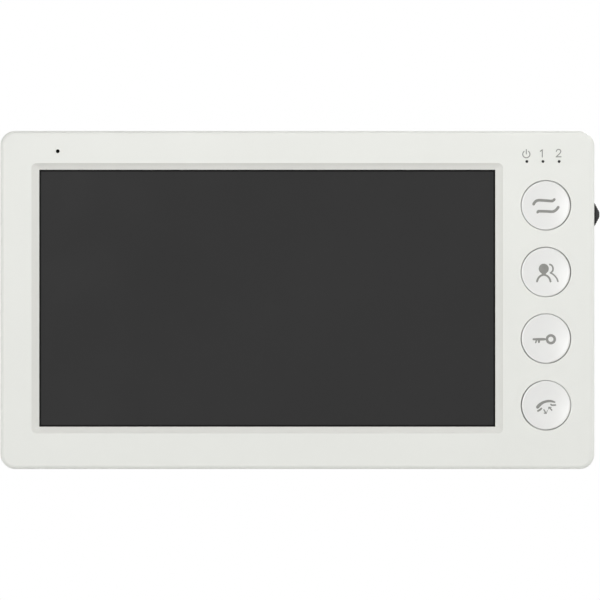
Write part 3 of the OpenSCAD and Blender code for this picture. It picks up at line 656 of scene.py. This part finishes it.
# ----------------------------------------------------------------------------
# back casing
# ----------------------------------------------------------------------------
def back_shell():
    g = Mesh()
    vent_x = [-66 + 6 * i for i in range(23)]
    cut = sorted([x + s * 0.85 for x in vent_x for s in (-1, 1)])
    thru = sorted([x + s * 0.7 for x in vent_x for s in (-1, 1)])
    seg = 12
    y_split = YF + SPLIT
    y_cut, y_in = (-9.65, -5.35), (-9.5, -5.5)

    def outer(inset, y, r, xs=cut):
        return g.loop(rrect(0, 0, BW - 3 - 2 * inset, BH - 3 - 2 * inset, r, seg, top=xs, bottom=xs), y)

    def draft(y):
        return 0.3 * (y - y_split) / 9.0

    # the cavity's outline goes round the screw tubes, which are one with the walls
    half_x, half_z, r_in, r_tube = (BW - 7.4) / 2, (BH - 7.4) / 2, 2.0, 3.0
    ax, az = half_x - r_in, half_z - r_in
    lo_a, hi_a = 0.0, 90.0
    for _ in range(60):
        m = (lo_a + hi_a) / 2
        d = math.hypot(ax + r_in * math.cos(math.radians(m)) - CASE_X, az + r_in * math.sin(math.radians(m)) - CASE_Z)
        lo_a, hi_a = (m, hi_a) if d > r_tube else (lo_a, m)
    corner = [(ax + r_in * math.cos(math.radians(lo_a * i / 8)), az + r_in * math.sin(math.radians(lo_a * i / 8))) for i in range(9)]
    t0 = math.degrees(math.atan2(corner[-1][1] - CASE_Z, corner[-1][0] - CASE_X))
    t1 = math.degrees(math.asin((half_z - CASE_Z) / r_tube)) - 360
    t1 = -180 - (360 + t1)
    corner += [(CASE_X + r_tube * math.cos(math.radians(t0 + (t1 - t0) * i / 24)), CASE_Z + r_tube * math.sin(math.radians(t0 + (t1 - t0) * i / 24)))
               for i in range(1, 25)]
    n_c = len(corner)
    outline = corner + [(x, half_z) for x in sorted(thru, reverse=True)]
    outline += [(-x, z) for x, z in reversed(corner)] + [(-x, -z) for x, z in corner]
    outline += [(x, -half_z) for x in sorted(thru)] + [(x, -z) for x, z in reversed(corner)]
    in_top, in_bottom = n_c, 3 * n_c + len(thru)

    def inner(y):
        return g.loop(outline, y)

    # flank, front to back
    e0 = outer(0.25, y_split, 3.75)
    e1 = outer(0.07, y_split + 0.07, 3.93)
    e2 = outer(draft(y_split + 0.25), y_split + 0.25, 4.0)
    f0, f1 = outer(draft(y_cut[0]), y_cut[0], 4.0), outer(draft(y_cut[1]), y_cut[1], 4.0)
    top = -3.0
    rounding = []
    for i in range(0, 11):
        a = math.radians(90 * i / 10)
        inset = 0.3 + 1.0 * (1 - math.cos(a))
        y = top + 1.5 * math.sin(a)
        rounding.append(outer(inset, y, 4.0 - (1 - math.cos(a)) * 1.0))
    # index of each cooling slot's cell on the top and bottom sides, outside and inside
    n_top = seg + 1
    first_bottom = n_top + len(cut) + 2 * (seg + 1)
    cells = [(n_top + 2 * k, in_top + 2 * k, 1) for k in range(len(vent_x))]
    cells += [(first_bottom + 2 * k, in_bottom + 2 * k, -1) for k in range(len(vent_x))]
    skip, skip_in = {c[0] for c in cells}, {c[1] for c in cells}
    g.chain(e0, e1, e2, f0)
    g.strip(f0, f1, skip=skip)
    g.strip(f1, rounding[0])
    g.chain(*rounding)
    # parting face, lip and inner wall
    lip0 = g.loop(rrect(0, 0, BW - 2 * WALL - 0.2, BH - 2 * WALL - 0.2, 2.9, seg, top=cut, bottom=cut), y_split)
    lip1 = g.loop(rrect(0, 0, BW - 2 * WALL - 0.2, BH - 2 * WALL - 0.2, 2.9, seg, top=cut, bottom=cut), y_split - 1.25)
    lip2 = g.loop(rrect(0, 0, BW - 2 * WALL - 0.5, BH - 2 * WALL - 0.5, 2.75, seg, top=cut, bottom=cut), y_split - 1.4)
    i_front, i0, i1, i_floor = inner(y_split - 1.4), inner(y_in[0]), inner(y_in[1]), inner(FLOOR)
    g.chain(e0, lip0, lip1, lip2)
    g.chain(i_front, i0)
    g.strip(i0, i1, skip=skip_in)
    g.strip(i1, i_floor)
    # cooling slots
    for j, i, sz in cells:
        a = [f0[j], f0[j + 1], f1[j + 1], f1[j]]
        b = [i0[i], i0[i + 1], i1[i + 1], i1[i]]
        pa = [g.v[q] for q in b]
        z_lead = sz * (HH - 1.5 - 0.35)
        lead = g.points([(p[0], p[1], z_lead) for p in pa])
        g.strip(a, lead)
        g.strip(lead, b)
    # holes through the rear wall
    rear_holes, floor_holes, bores = [], [], []

    def through(shape, edge):
        """shape(grow) gives the outline grown outwards by that much."""
        loops = [g.loop(shape(s * edge), REAR - d * edge) for s, d in arc_steps(4)]
        end = g.loop(shape(0), FLOOR)
        g.chain(*loops, end)
        rear_holes.append(loops[0])
        floor_holes.append(end)

    through(lambda d: rrect(0, 0, 56 + 2 * d, 16 + 2 * d, 2 + d, 8), 0.4)
    for sx in (-1, 1):
        for z in HOOK_Z:
            zc = (z - LIFT - 2.2 + z + 0.05) / 2
            hh = LIFT + 2.25
            through(lambda d, sx=sx, zc=zc, hh=hh: rrect(sx * HOOK_X, zc, HOOK_W + 1 + 2 * d, hh + 2 * d, 0.25 + d, 5), 0.25)
        for sz in (-1, 1):
            # screw-head recess and bore
            ring = lambda r, y, sx=sx, sz=sz: g.loop(circle(sx * CASE_X, sz * CASE_Z, r, 40), y)
            mouth = [ring(2.3 + s * 0.2, REAR - d * 0.2) for s, d in arc_steps(4)]
            bore = ring(1.3, y_split - 1.4)
            g.chain(*mouth, ring(2.3, -6.0), ring(1.3, -6.0), bore)
            rear_holes.append(mouth[0])
            bores.append(bore)
    for i in range(-4, 5):
        half = math.sqrt(14.4 ** 2 - i * i * 9) - 1
        through(lambda d, i=i, half=half: stadium(SPX + i * 3, SPZ, half, 0.75 + d, 8), 0.2)
    g.fill(rounding[-1], rear_holes)
    g.fill(i_floor, floor_holes)
    g.fill(lip2, [i_front, *bores])
    g.turned(SPX, SPZ, [(19.3, FLOOR + 0.05), (19.3, FLOOR - 0.8), (19.2, FLOOR - 0.9), (18.4, FLOOR - 0.9), (18.3, FLOOR - 0.8), (18.3, FLOOR + 0.05)], 72)
    for s in (-1, 1):
        g.turned(SPX, SPZ + 20 * s, [(0, FLOOR + 0.05), (1.9, FLOOR + 0.05), (1.9, FLOOR - 1), (0.92, FLOOR - 1),
                                     (0.92, FLOOR - 0.05), (0, FLOOR - 0.05)], 28)
    r0, r1 = g.loop(rrect(0, 0, 59, 19, 3.5, 8), FLOOR + 0.05), g.loop(rrect(0, 0, 59, 19, 3.5, 8), FLOOR - 1)
    r2, r3 = g.loop(rrect(0, 0, 56, 16, 2, 8), FLOOR - 1), g.loop(rrect(0, 0, 56, 16, 2, 8), FLOOR + 0.05)
    g.chain(r0, r1, r2, r3, r0)
    return g.make("back_casing", "monitor", M["casing_back"], replaces=["back_shell"])


# ----------------------------------------------------------------------------
# screen window
# ----------------------------------------------------------------------------
def screen():
    g = Mesh()
    y0, y1 = YF + 1.7, YF + 2.9
    loops = [g.loop(rrect(SCX, SCZ, LENS_W - 2 * i, LENS_H - 2 * i, 0.5, 4), y)
             for i, y in ((0.2, y0), (0.06, y0 + 0.06), (0, y0 + 0.2), (0, y1 - 0.2), (0.06, y1 - 0.06), (0.2, y1))]
    g.chain(*loops)
    g.fill(loops[0])
    g.fill(loops[-1])
    return g.make("screen_panel", "monitor", M["screen"], replaces=["screen_window"])


# ----------------------------------------------------------------------------
# keys
# ----------------------------------------------------------------------------
RIM = KR - 0.22


def dish_y(r):
    """The key's front surface at distance r from its middle: an even hollow that rises to the rim."""
    return YF - 0.3 + DISH * (1 - (r / RIM) ** 2.2)


def key(name, k):
    g = Mesh()
    x, z = KX + KEY_SIT[k][0], KEY_Z[k] + KEY_SIT[k][1]
    steps = [round(i * 5.0, 3) for i in range(72)]
    notch = [a for a in steps if abs(a - 270) > 7.6] + [270 - 6.6, 270 - 6.5, 270 - 3, 270, 270 + 3, 270 + 6.5, 270 + 6.6]
    angles = [math.radians(a) for a in sorted(notch)]
    prof = [(0, dish_y(0))] + [(RIM * k / 18, dish_y(RIM * k / 18)) for k in range(1, 19)]
    # a narrow crest, then the outer edge
    for a in (35, 60, 90):
        t = math.radians(a)
        prof.append((RIM + 0.22 * math.sin(t), YF - 0.3 + 0.25 * (1 - math.cos(t))))
    first_flange = len(prof) + 2
    prof += [(KR, YF + 1.2), (KR, YF + 2.3), (FLANGE, YF + 2.3), (FLANGE, YF + 3.1), (7.0, YF + 3.1), (7.0, YF + 1.4), (2.5, YF + 1.4),
             (2.5, YF + 3.4), (0, YF + 3.4)]

    def radius(k, r, a):
        if k in (first_flange, first_flange + 1) and abs(math.degrees(a) - 270) < 6.55:
            return 8.78 / max(math.cos(a - math.radians(270)), 0.5)
        return r

    g.turned(x, z, prof, angles=angles, radius=radius)
    return g.make(f"keycap_{name}", f"{name}_button", M["key"], smooth=40, replaces=[f"key_{name}"])


# ----------------------------------------------------------------------------
# printed marks
# ----------------------------------------------------------------------------
def smooth_line(pts, n=8):
    """A Catmull-Rom curve through points of any width, n steps between each two."""
    p = [np.array(q, float) for q in pts]
    if len(p) < 3:
        return [tuple(p[0] + (p[-1] - p[0]) * t / n) for t in range(n + 1)]
    p = [2 * p[0] - p[1]] + p + [2 * p[-1] - p[-2]]
    out = []
    for i in range(1, len(p) - 2):
        for k in range(n):
            t = k / n
            out.append(tuple(0.5 * ((2 * p[i]) + (-p[i - 1] + p[i + 1]) * t + (2 * p[i - 1] - 5 * p[i] + 4 * p[i + 1] - p[i + 2]) * t * t
                                    + (-p[i - 1] + 3 * p[i] - 3 * p[i + 1] + p[i + 2]) * t ** 3)))
    out.append(tuple(p[-2]))
    return out


def stroke(pts, width, n=6, smooth=True):
    """The outline of a round-ended line. Each point is (x, z) or (x, z, width)."""
    pts = [(q[0], q[1], q[2] if len(q) > 2 else width) for q in pts]
    line = smooth_line(pts, n) if smooth else pts
    line = np.array(line, float)
    d = np.gradient(line[:, :2], axis=0)
    d /= np.linalg.norm(d, axis=1)[:, None] + 1e-12
    nrm = np.stack([-d[:, 1], d[:, 0]], 1)
    half = line[:, 2:3] / 2
    left, right = line[:, :2] + nrm * half, line[:, :2] - nrm * half

    def cap(centre, direction, h):
        a0 = math.atan2(direction[1], direction[0])
        return [(centre[0] + h * math.cos(a0 + math.radians(t)), centre[1] + h * math.sin(a0 + math.radians(t)))
                for t in (-60, -30, 0, 30, 60)]

    out = [tuple(p) for p in right]
    out += cap(line[-1, :2], d[-1], half[-1, 0])
    out += [tuple(p) for p in left[::-1]]
    out += cap(line[0, :2], -d[0], half[0, 0])
    return out


def add_print(g, outline, surface, height=0.03, sink=0.06, holes=(), grid=0.45):
    """A thin closed solid of that outline, lying on the surface y = surface(x, z)."""
    lo, hi = np.min(outline, axis=0), np.max(outline, axis=0)
    extra = []
    if max(hi - lo) > grid:
        xs, zs = np.arange(lo[0] + grid / 2, hi[0], grid), np.arange(lo[1] + grid / 2, hi[1], grid)
        cand = np.array([(x, z) for x in xs for z in zs])
        if len(cand):
            ok = inside(cand, outline)
            for h in holes:
                ok &= ~inside(cand, h)
            edge = np.array(list(outline) + [p for h in holes for p in h])
            far = np.min(np.linalg.norm(cand[:, None] - edge[None], axis=2), axis=1) > grid * 0.35
            extra = [tuple(p) for p in cand[ok & far]]
    loops = [list(outline), *[list(h) for h in holes]]
    tris = triangulate(loops, extra)
    flat = [p for l in loops for p in l] + extra
    top = g.points([(p[0], surface(p[0], p[1]) - height, p[1]) for p in flat])
    low = g.points([(p[0], surface(p[0], p[1]) + sink, p[1]) for p in flat])
    for t in tris:
        g.f.append(tuple(top[k] for k in t))
        g.f.append(tuple(low[k] for k in reversed(t)))
    start = 0
    for l in loops:
        n = len(l)
        g.strip([top[start + i] for i in range(n)], [low[start + i] for i in range(n)])
        start += n


def arc_points(cx, cz, r, a0, a1, n=24):
    return [(cx + r * math.cos(math.radians(a0 + (a1 - a0) * i / n)), cz + r * math.sin(math.radians(a0 + (a1 - a0) * i / n))) for i in range(n + 1)]


def icon(name, number, strokes, discs=(), rings=()):
    g = Mesh()
    z, sit = KEY_Z[number], KEY_SIT[number]
    surf = lambda x, zz: dish_y(math.hypot(x - KX - sit[0], zz - z - sit[1]))
    k = 0
    for pts, w, sm in strokes:
        out = stroke([(KX + p[0], z + p[1], *p[2:]) for p in pts], w, smooth=sm)
        add_print(g, out, surf, height=0.028 + 0.003 * k)
        k += 1
    for cx, cz, r in discs:
        add_print(g, circle(KX + cx, z + cz, r, 40), surf, height=0.028 + 0.003 * k)
        k += 1
    for cx, cz, r1, r0 in rings:
        add_print(g, circle(KX + cx, z + cz, r1, 48), surf, height=0.028 + 0.003 * k,
                  holes=[circle(KX + cx, z + cz, r0, 40)])
        k += 1
    return g.make(f"mark_{name}", f"{name}_button", M["print"], smooth=50, weighted=False)


S = 0.34 / 24.12   # mark sketches are in units of 1/24.12 of 0.34 mm, about each key's middle


def sketch(cu, cv, pts):
    return [((p[0] - cu) * S, -(p[1] - cv) * S, *[w * S for w in p[2:]]) for p in pts]


def icons():
    cu, cv = 742.0, 733.0
    icon("monitor", 0, [
        (sketch(cu, cv, [(445, 706), (466, 668), (500, 634), (548, 614), (610, 612), (760, 622), (860, 629), (905, 627)]), 66 * S, True),
        (sketch(cu, cv, [(904, 626), (926, 612), (944, 592)]), 62 * S, False),
        (sketch(cu, cv, [(543, 900), (553, 880)]), 62 * S, False),
        (sketch(cu, cv, [(560, 876), (620, 876), (760, 880), (890, 886), (950, 870), (998, 832), (1038, 780)]), 66 * S, True)])
    cu, cv = 742.0, 772.0
    icon("intercom", 1, [
        (sketch(cu, cv, [(526, 1000), (556, 925), (610, 868), (690, 842), (770, 868), (826, 928), (853, 1000)]), 46 * S, True),
        (sketch(cu, cv, [(690, 780), (690, 806)]), 112 * S, False),
        (sketch(cu, cv, [(835, 590), (885, 618), (912, 680), (905, 740), (872, 784)]), 38 * S, True),
        (sketch(cu, cv, [(850, 792), (910, 826), (968, 880), (1008, 936), (1031, 1000)]), 36 * S, True)],
        discs=[((690 - cu) * S, -(694 - cv) * S, 121 * S)])
    cu, cv = 747.0, 815.0
    icon("unlock", 2, [
        (sketch(cu, cv, [(448, 830, 50), (600, 830, 62), (700, 830, 58), (752, 830, 34)]), 60 * S, True),
        (sketch(cu, cv, [(522, 846), (500, 908)]), 36 * S, False),
        (sketch(cu, cv, [(582, 846), (577, 896)]), 52 * S, False)],
        rings=[((866 - cu) * S, -(830 - cv) * S, 124 * S, 62 * S)])
    cu, cv = 752.0, 853.0
    icon("talk", 3, [
        (sketch(cu, cv, [(553, 896, 78), (590, 852, 80), (648, 805, 68), (718, 770, 62), (800, 753, 60), (880, 754, 55), (962, 776, 38)]), 80 * S, True),
        (sketch(cu, cv, [(562, 986), (610, 960), (640, 930)]), 46 * S, True),
        (sketch(cu, cv, [(872, 832), (900, 849), (980, 846)]), 38 * S, True),
        (sketch(cu, cv, [(704, 962), (752, 1040)]), 30 * S, False),
        (sketch(cu, cv, [(792, 972), (760, 1040)]), 16 * S, False),
        (sketch(cu, cv, [(712, 1042), (762, 1046)]), 26 * S, False),
        (sketch(cu, cv, [(890, 968), (835, 906)]), 34 * S, False),
        (sketch(cu, cv, [(818, 898), (880, 900)]), 20 * S, False),
        (sketch(cu, cv, [(818, 898), (816, 944)]), 20 * S, False)])


def status_marks():
    g = Mesh()
    flat = lambda x, z: YF
    px = lambda x, y: ((x - 297.4) * 0.34, (300 - y) * 0.34)
    w = 0.33
    cx, cz = px(526.3, 154.2)
    add_print(g, stroke(arc_points(cx, cz, 1.22, 90 + 38, 90 + 360 - 38, 36), w, smooth=False), flat, grid=5)
    add_print(g, stroke([(cx, cz + 0.1), (cx, cz + 1.55)], w, smooth=False), flat, height=0.033, grid=5)
    a = [px(540.3, 151.3), px(542.2, 149.9)]
    add_print(g, stroke(a, w, smooth=False), flat, grid=5)
    add_print(g, stroke([px(542.3, 149.8), px(542.3, 157.0)], w, smooth=False), flat, height=0.033, grid=5)
    two = [px(556.3, 151.4), px(557.0, 150.0), px(558.7, 149.4), px(560.3, 150.1), px(560.7, 151.8), px(559.4, 153.8), px(556.1, 156.8)]
    add_print(g, stroke(two, w), flat, grid=5)
    add_print(g, stroke([px(556.1, 156.8), px(561.0, 156.8)], w, smooth=False), flat, height=0.033, grid=5)
    g.make("mark_status", "monitor", M["print"], smooth=50, weighted=False)


# ----------------------------------------------------------------------------
# jog control
# ----------------------------------------------------------------------------
def boolean(target, cutter, op="DIFFERENCE"):
    m = target.modifiers.new("cut", "BOOLEAN")
    m.operation = op
    m.object = cutter
    m.solver = "EXACT"
    bpy.context.view_layer.update()
    dg = bpy.context.evaluated_depsgraph_get()
    me = bpy.data.meshes.new_from_object(target.evaluated_get(dg))
    target.modifiers.clear()
    target.data = me
    bpy.data.objects.remove(cutter, do_unlink=True)


def bare(name, g):
    me = bpy.data.meshes.new(name)
    me.from_pydata([(a * MM, b * MM, c * MM) for a, b, c in g.v], [], g.f)
    bm = bmesh.new()
    bm.from_mesh(me)
    bmesh.ops.remove_doubles(bm, verts=bm.verts, dist=1e-8)
    bmesh.ops.recalc_face_normals(bm, faces=bm.faces)
    bm.to_mesh(me)
    bm.free()
    ob = bpy.data.objects.new(name, me)
    bpy.context.scene.collection.objects.link(ob)
    return ob


def jog():
    g = Mesh()
    face = []
    # the pressed face: two shallow slopes to a narrow crown, with cross ridges
    n = 9
    for s in (-1, 1):
        row = []
        for i in range(n):
            t = i / (n - 1)
            z = -3.75 + t * 2.75
            x = 0.30 + t * (JOUT - 0.10 - 0.30)
            row.append((x + (0.08 if i % 2 else -0.04), z))
        face.append(row if s < 0 else [(x, -z) for x, z in reversed(row)])
    low, high = face
    out = [(-4.1, -5.3), (-2.9, -5.3), (-2.9, -4.0), (0.1, -4.0)] + low + [(JOUT, -0.7), (JOUT, 0.7)] + high + \
          [(0.1, 4.0), (-2.9, 4.0), (-2.9, 5.3), (-4.1, 5.3)]
    out = [(HW + x, JZ + z) for x, z in out]
    c = 0.22
    mid = (HW - 1.2, JZ)
    shrink = lambda p, d: (p[0] - d if p[0] > HW - 2 else p[0], p[1] - d * (1 if p[1] > JZ else -1) * (1 if abs(p[1] - JZ) > 3.5 else 0))
    small = [shrink(p, c) for p in out]
    half = [shrink(p, c * 0.29) for p in out]
    l = [g.loop(small, JY - 1.4), g.loop(half, JY - 1.4 + c * 0.29), g.loop(out, JY - 1.4 + c),
         g.loop(out, JY + 1.4 - c), g.loop(half, JY + 1.4 - c * 0.29), g.loop(small, JY + 1.4)]
    g.chain(*l)
    g.f.append(tuple(l[0]))
    g.f.append(tuple(reversed(l[-1])))

    def cut(ob):
        pocket = Mesh()
        pocket.block(HW - 5, HW - 1.8, JY - 0.7, JY + 0.7, JZ - 2.2, JZ + 2.2)
        boolean(ob, bare("cut_a", pocket))
        pin = Mesh()
        pin.turned(JX, JZ, [(0, JY - 2), (0.55, JY - 2), (0.55, JY + 2), (0, JY + 2)], 24)
        boolean(ob, bare("cut_b", pin))
        ob.data.materials.clear()
        ob.data.materials.append(M["black_plastic"])

    g.make("jog_cap", "jog_rocker", M["black_plastic"], smooth=25, replaces=["jog_knob"], post=cut)


# ----------------------------------------------------------------------------
# wall bracket
# ----------------------------------------------------------------------------
def bracket():
    g = Mesh()
    y0, y1, e = -1.2, 0.0, 0.18
    front_holes, back_holes = [], []

    def outline(shape, hole):
        sgn = 1 if hole else -1
        fr = [g.loop(shape(sgn * s * e), y0 + d * e) for s, d in arc_steps(3)]
        bk = [g.loop(shape(sgn * s * e), y1 - d * e) for s, d in reversed(arc_steps(3))]
        g.chain(*fr, *bk)
        return fr[0], bk[-1]

    o = outline(lambda d: rrect(0, 0, 104 + 2 * d, 76 + 2 * d, 4 + d, 10), False)
    shapes = [lambda d: rrect(0, 0, 48 + 2 * d, 36 + 2 * d, 3 + d, 8)]
    for sx in (-1, 1):
        for sz in (-1, 1):
            shapes.append(lambda d, sx=sx, sz=sz: circle(sx * 42, sz * 31, 2.25 + d, 40))
        shapes.append(lambda d, sx=sx: circle(sx * 30, 0, 2.0 + d, 40))
        for z in HOOK_Z:
            shapes.append(lambda d, sx=sx, z=z: rrect(sx * HOOK_X, z - 5.2, HOOK_W + 0.6 + 2 * d, 8.0 + 2 * d, 0.5 + d, 4))
    for s in shapes:
        a, b = outline(s, True)
        front_holes.append(a)
        back_holes.append(b)
    g.fill(o[0], front_holes)
    g.fill(o[1], back_holes)
    # hooks bent up out of the plate
    t = 0.6
    for sx in (-1, 1):
        for z in HOOK_Z:
            line = [(-0.35, z - t)]
            line += [(-4.4 + 0.75 - 0.75 * math.sin(math.radians(a)), z - t + 0.75 - 0.75 * math.cos(math.radians(a))) for a in range(0, 91, 15)]
            line += [(-4.4, z + 5.0)]
            p = np.array(line)
            d = np.gradient(p, axis=0)
            d[0], d[-1] = (-1, 0), (0, 1)
            d /= np.linalg.norm(d, axis=1)[:, None]
            nrm = np.stack([-d[:, 1], d[:, 0]], 1)

            def ring(off, trim=0.0):
                q = p.copy()
                q[-1, 1] -= trim
                a, b = q + nrm * off, q - nrm * off
                return [tuple(r) for r in a] + [tuple(r) for r in b[::-1]]

            def at(x, pts):
                return g.points([(x, q[0], q[1]) for q in pts])

            x0, x1 = sx * HOOK_X - HOOK_W / 2, sx * HOOK_X + HOOK_W / 2
            rings = [at(x0, ring(t - 0.15, 0.15)), at(x0 + 0.05, ring(t - 0.05, 0.05)), at(x0 + 0.15, ring(t)),
                     at(x1 - 0.15, ring(t)), at(x1 - 0.05, ring(t - 0.05, 0.05)), at(x1, ring(t - 0.15, 0.15))]
            g.chain(*rings)
            g.fill(rings[0], axes=(1, 2))
            g.fill(rings[-1], axes=(1, 2))
    return g.make("bracket_plate", "bracket", M["steel"], smooth=40, replaces=["wall_bracket"])


front_shell()
back_shell()
screen()
for k, n in enumerate(("monitor", "intercom", "unlock", "talk")):
    key(n, k)
icons()
status_marks()
jog()
bracket()


# ----------------------------------------------------------------------------
# floor, light and camera
# ----------------------------------------------------------------------------
FLOOR_Z = -0.30


def stage():
    me = bpy.data.meshes.new("floor")
    bm = bmesh.new()
    n, r = 128, 1.9
    c = bm.verts.new((0, 0, FLOOR_Z))
    ring = [bm.verts.new((r * math.cos(2 * math.pi * i / n), r * math.sin(2 * math.pi * i / n), FLOOR_Z)) for i in range(n)]
    for i in range(n):
        bm.faces.new((c, ring[i], ring[(i + 1) % n]))
    bm.to_mesh(me)
    bm.free()
    floor = bpy.data.objects.new("floor", me)
    bpy.context.scene.collection.objects.link(floor)
    me.materials.append(M["floor"])


def area(name, loc, target, size, power, colour=(1, 1, 1)):
    li = bpy.data.lights.new(name, "AREA")
    li.shape = "DISK"
    li.size = size
    li.energy = power
    li.color = colour
    ob = bpy.data.objects.new(name, li)
    ob.location = loc
    ob.rotation_mode = "QUATERNION"
    ob.rotation_quaternion = (Vector(target) - Vector(loc)).to_track_quat("-Z", "Y")
    bpy.context.scene.collection.objects.link(ob)
    return ob


def world():
    """White where the camera looks past the object. The light it gives is brightest from in front."""
    w = bpy.data.worlds.new("studio")
    bpy.context.scene.world = w
    w.use_nodes = True
    N, L = w.node_tree.nodes, w.node_tree.links
    N.clear()
    out = N.new("ShaderNodeOutputWorld")
    seen, lit = N.new("ShaderNodeBackground"), N.new("ShaderNodeBackground")
    seen.inputs["Color"].default_value = (1, 1, 1, 1)
    seen.inputs["Strength"].default_value = 1.0
    lit.inputs["Color"].default_value = (1.0, 1.0, 1.0, 1)
    tc, sep = N.new("ShaderNodeTexCoord"), N.new("ShaderNodeSeparateXYZ")
    L.new(tc.outputs["Generated"], sep.inputs[0])
    front = N.new("ShaderNodeMapRange")
    front.inputs["From Min"].default_value = 0.6
    front.inputs["From Max"].default_value = -0.9
    front.inputs["To Min"].default_value = 0.10
    front.inputs["To Max"].default_value = 0.225
    L.new(sep.outputs["Y"], front.inputs["Value"])
    L.new(front.outputs[0], lit.inputs["Strength"])
    lp, mx = N.new("ShaderNodeLightPath"), N.new("ShaderNodeMixShader")
    L.new(lp.outputs["Is Camera Ray"], mx.inputs[0])
    L.new(lit.outputs[0], mx.inputs[1])
    L.new(seen.outputs[0], mx.inputs[2])
    L.new(mx.outputs[0], out.inputs[0])


def camera():
    cam = bpy.data.cameras.new("camera")
    cam.type = "PERSP"
    cam.lens = 400.0
    cam.sensor_width = 36.0
    ob = bpy.data.objects.new("camera", cam)
    bpy.context.scene.collection.objects.link(ob)
    dist = 0.600 * 0.34 * cam.lens / 36.0
    ob.location = (0.88 * MM, YF * MM - dist, 0.0)
    ob.rotation_euler = (math.radians(90), 0, 0)
    cam.clip_start, cam.clip_end = 0.05, 20
    bpy.context.scene.camera = ob


stage()
world()


def lamp(name, azimuth, elevation, dist, size, strength):
    """A soft disk lamp, aimed at the object from those angles off its front. strength is the light on a face turned to it, where 1 is full white."""
    a, e = math.radians(azimuth), math.radians(elevation)
    d = Vector((math.sin(a) * math.cos(e), -math.cos(a) * math.cos(e), math.sin(e)))
    return area(name, d * dist, (0, 0, 0), size, strength * math.pi ** 2 * dist * dist)


lamp("key_light", -14, 4, 2.2, 0.42, 0.372)
lamp("left_side", -96, 4, 1.2, 0.50, 0.215)
lamp("fill_light", 36, 12, 1.10, 0.50, 0.084)
lamp("top_light", 18, 50, 0.60, 0.35, 0.300)
lamp("right_side", 97, 5, 1.2, 0.50, 0.250)
lamp("back_light", 150, 35, 1.6, 0.80, 0.913)
camera()
sc = bpy.context.scene
sc.view_settings.view_transform = "Standard"
sc.view_settings.look = "None"
sc.view_settings.exposure = 0.0
sc.view_settings.gamma = 1.0
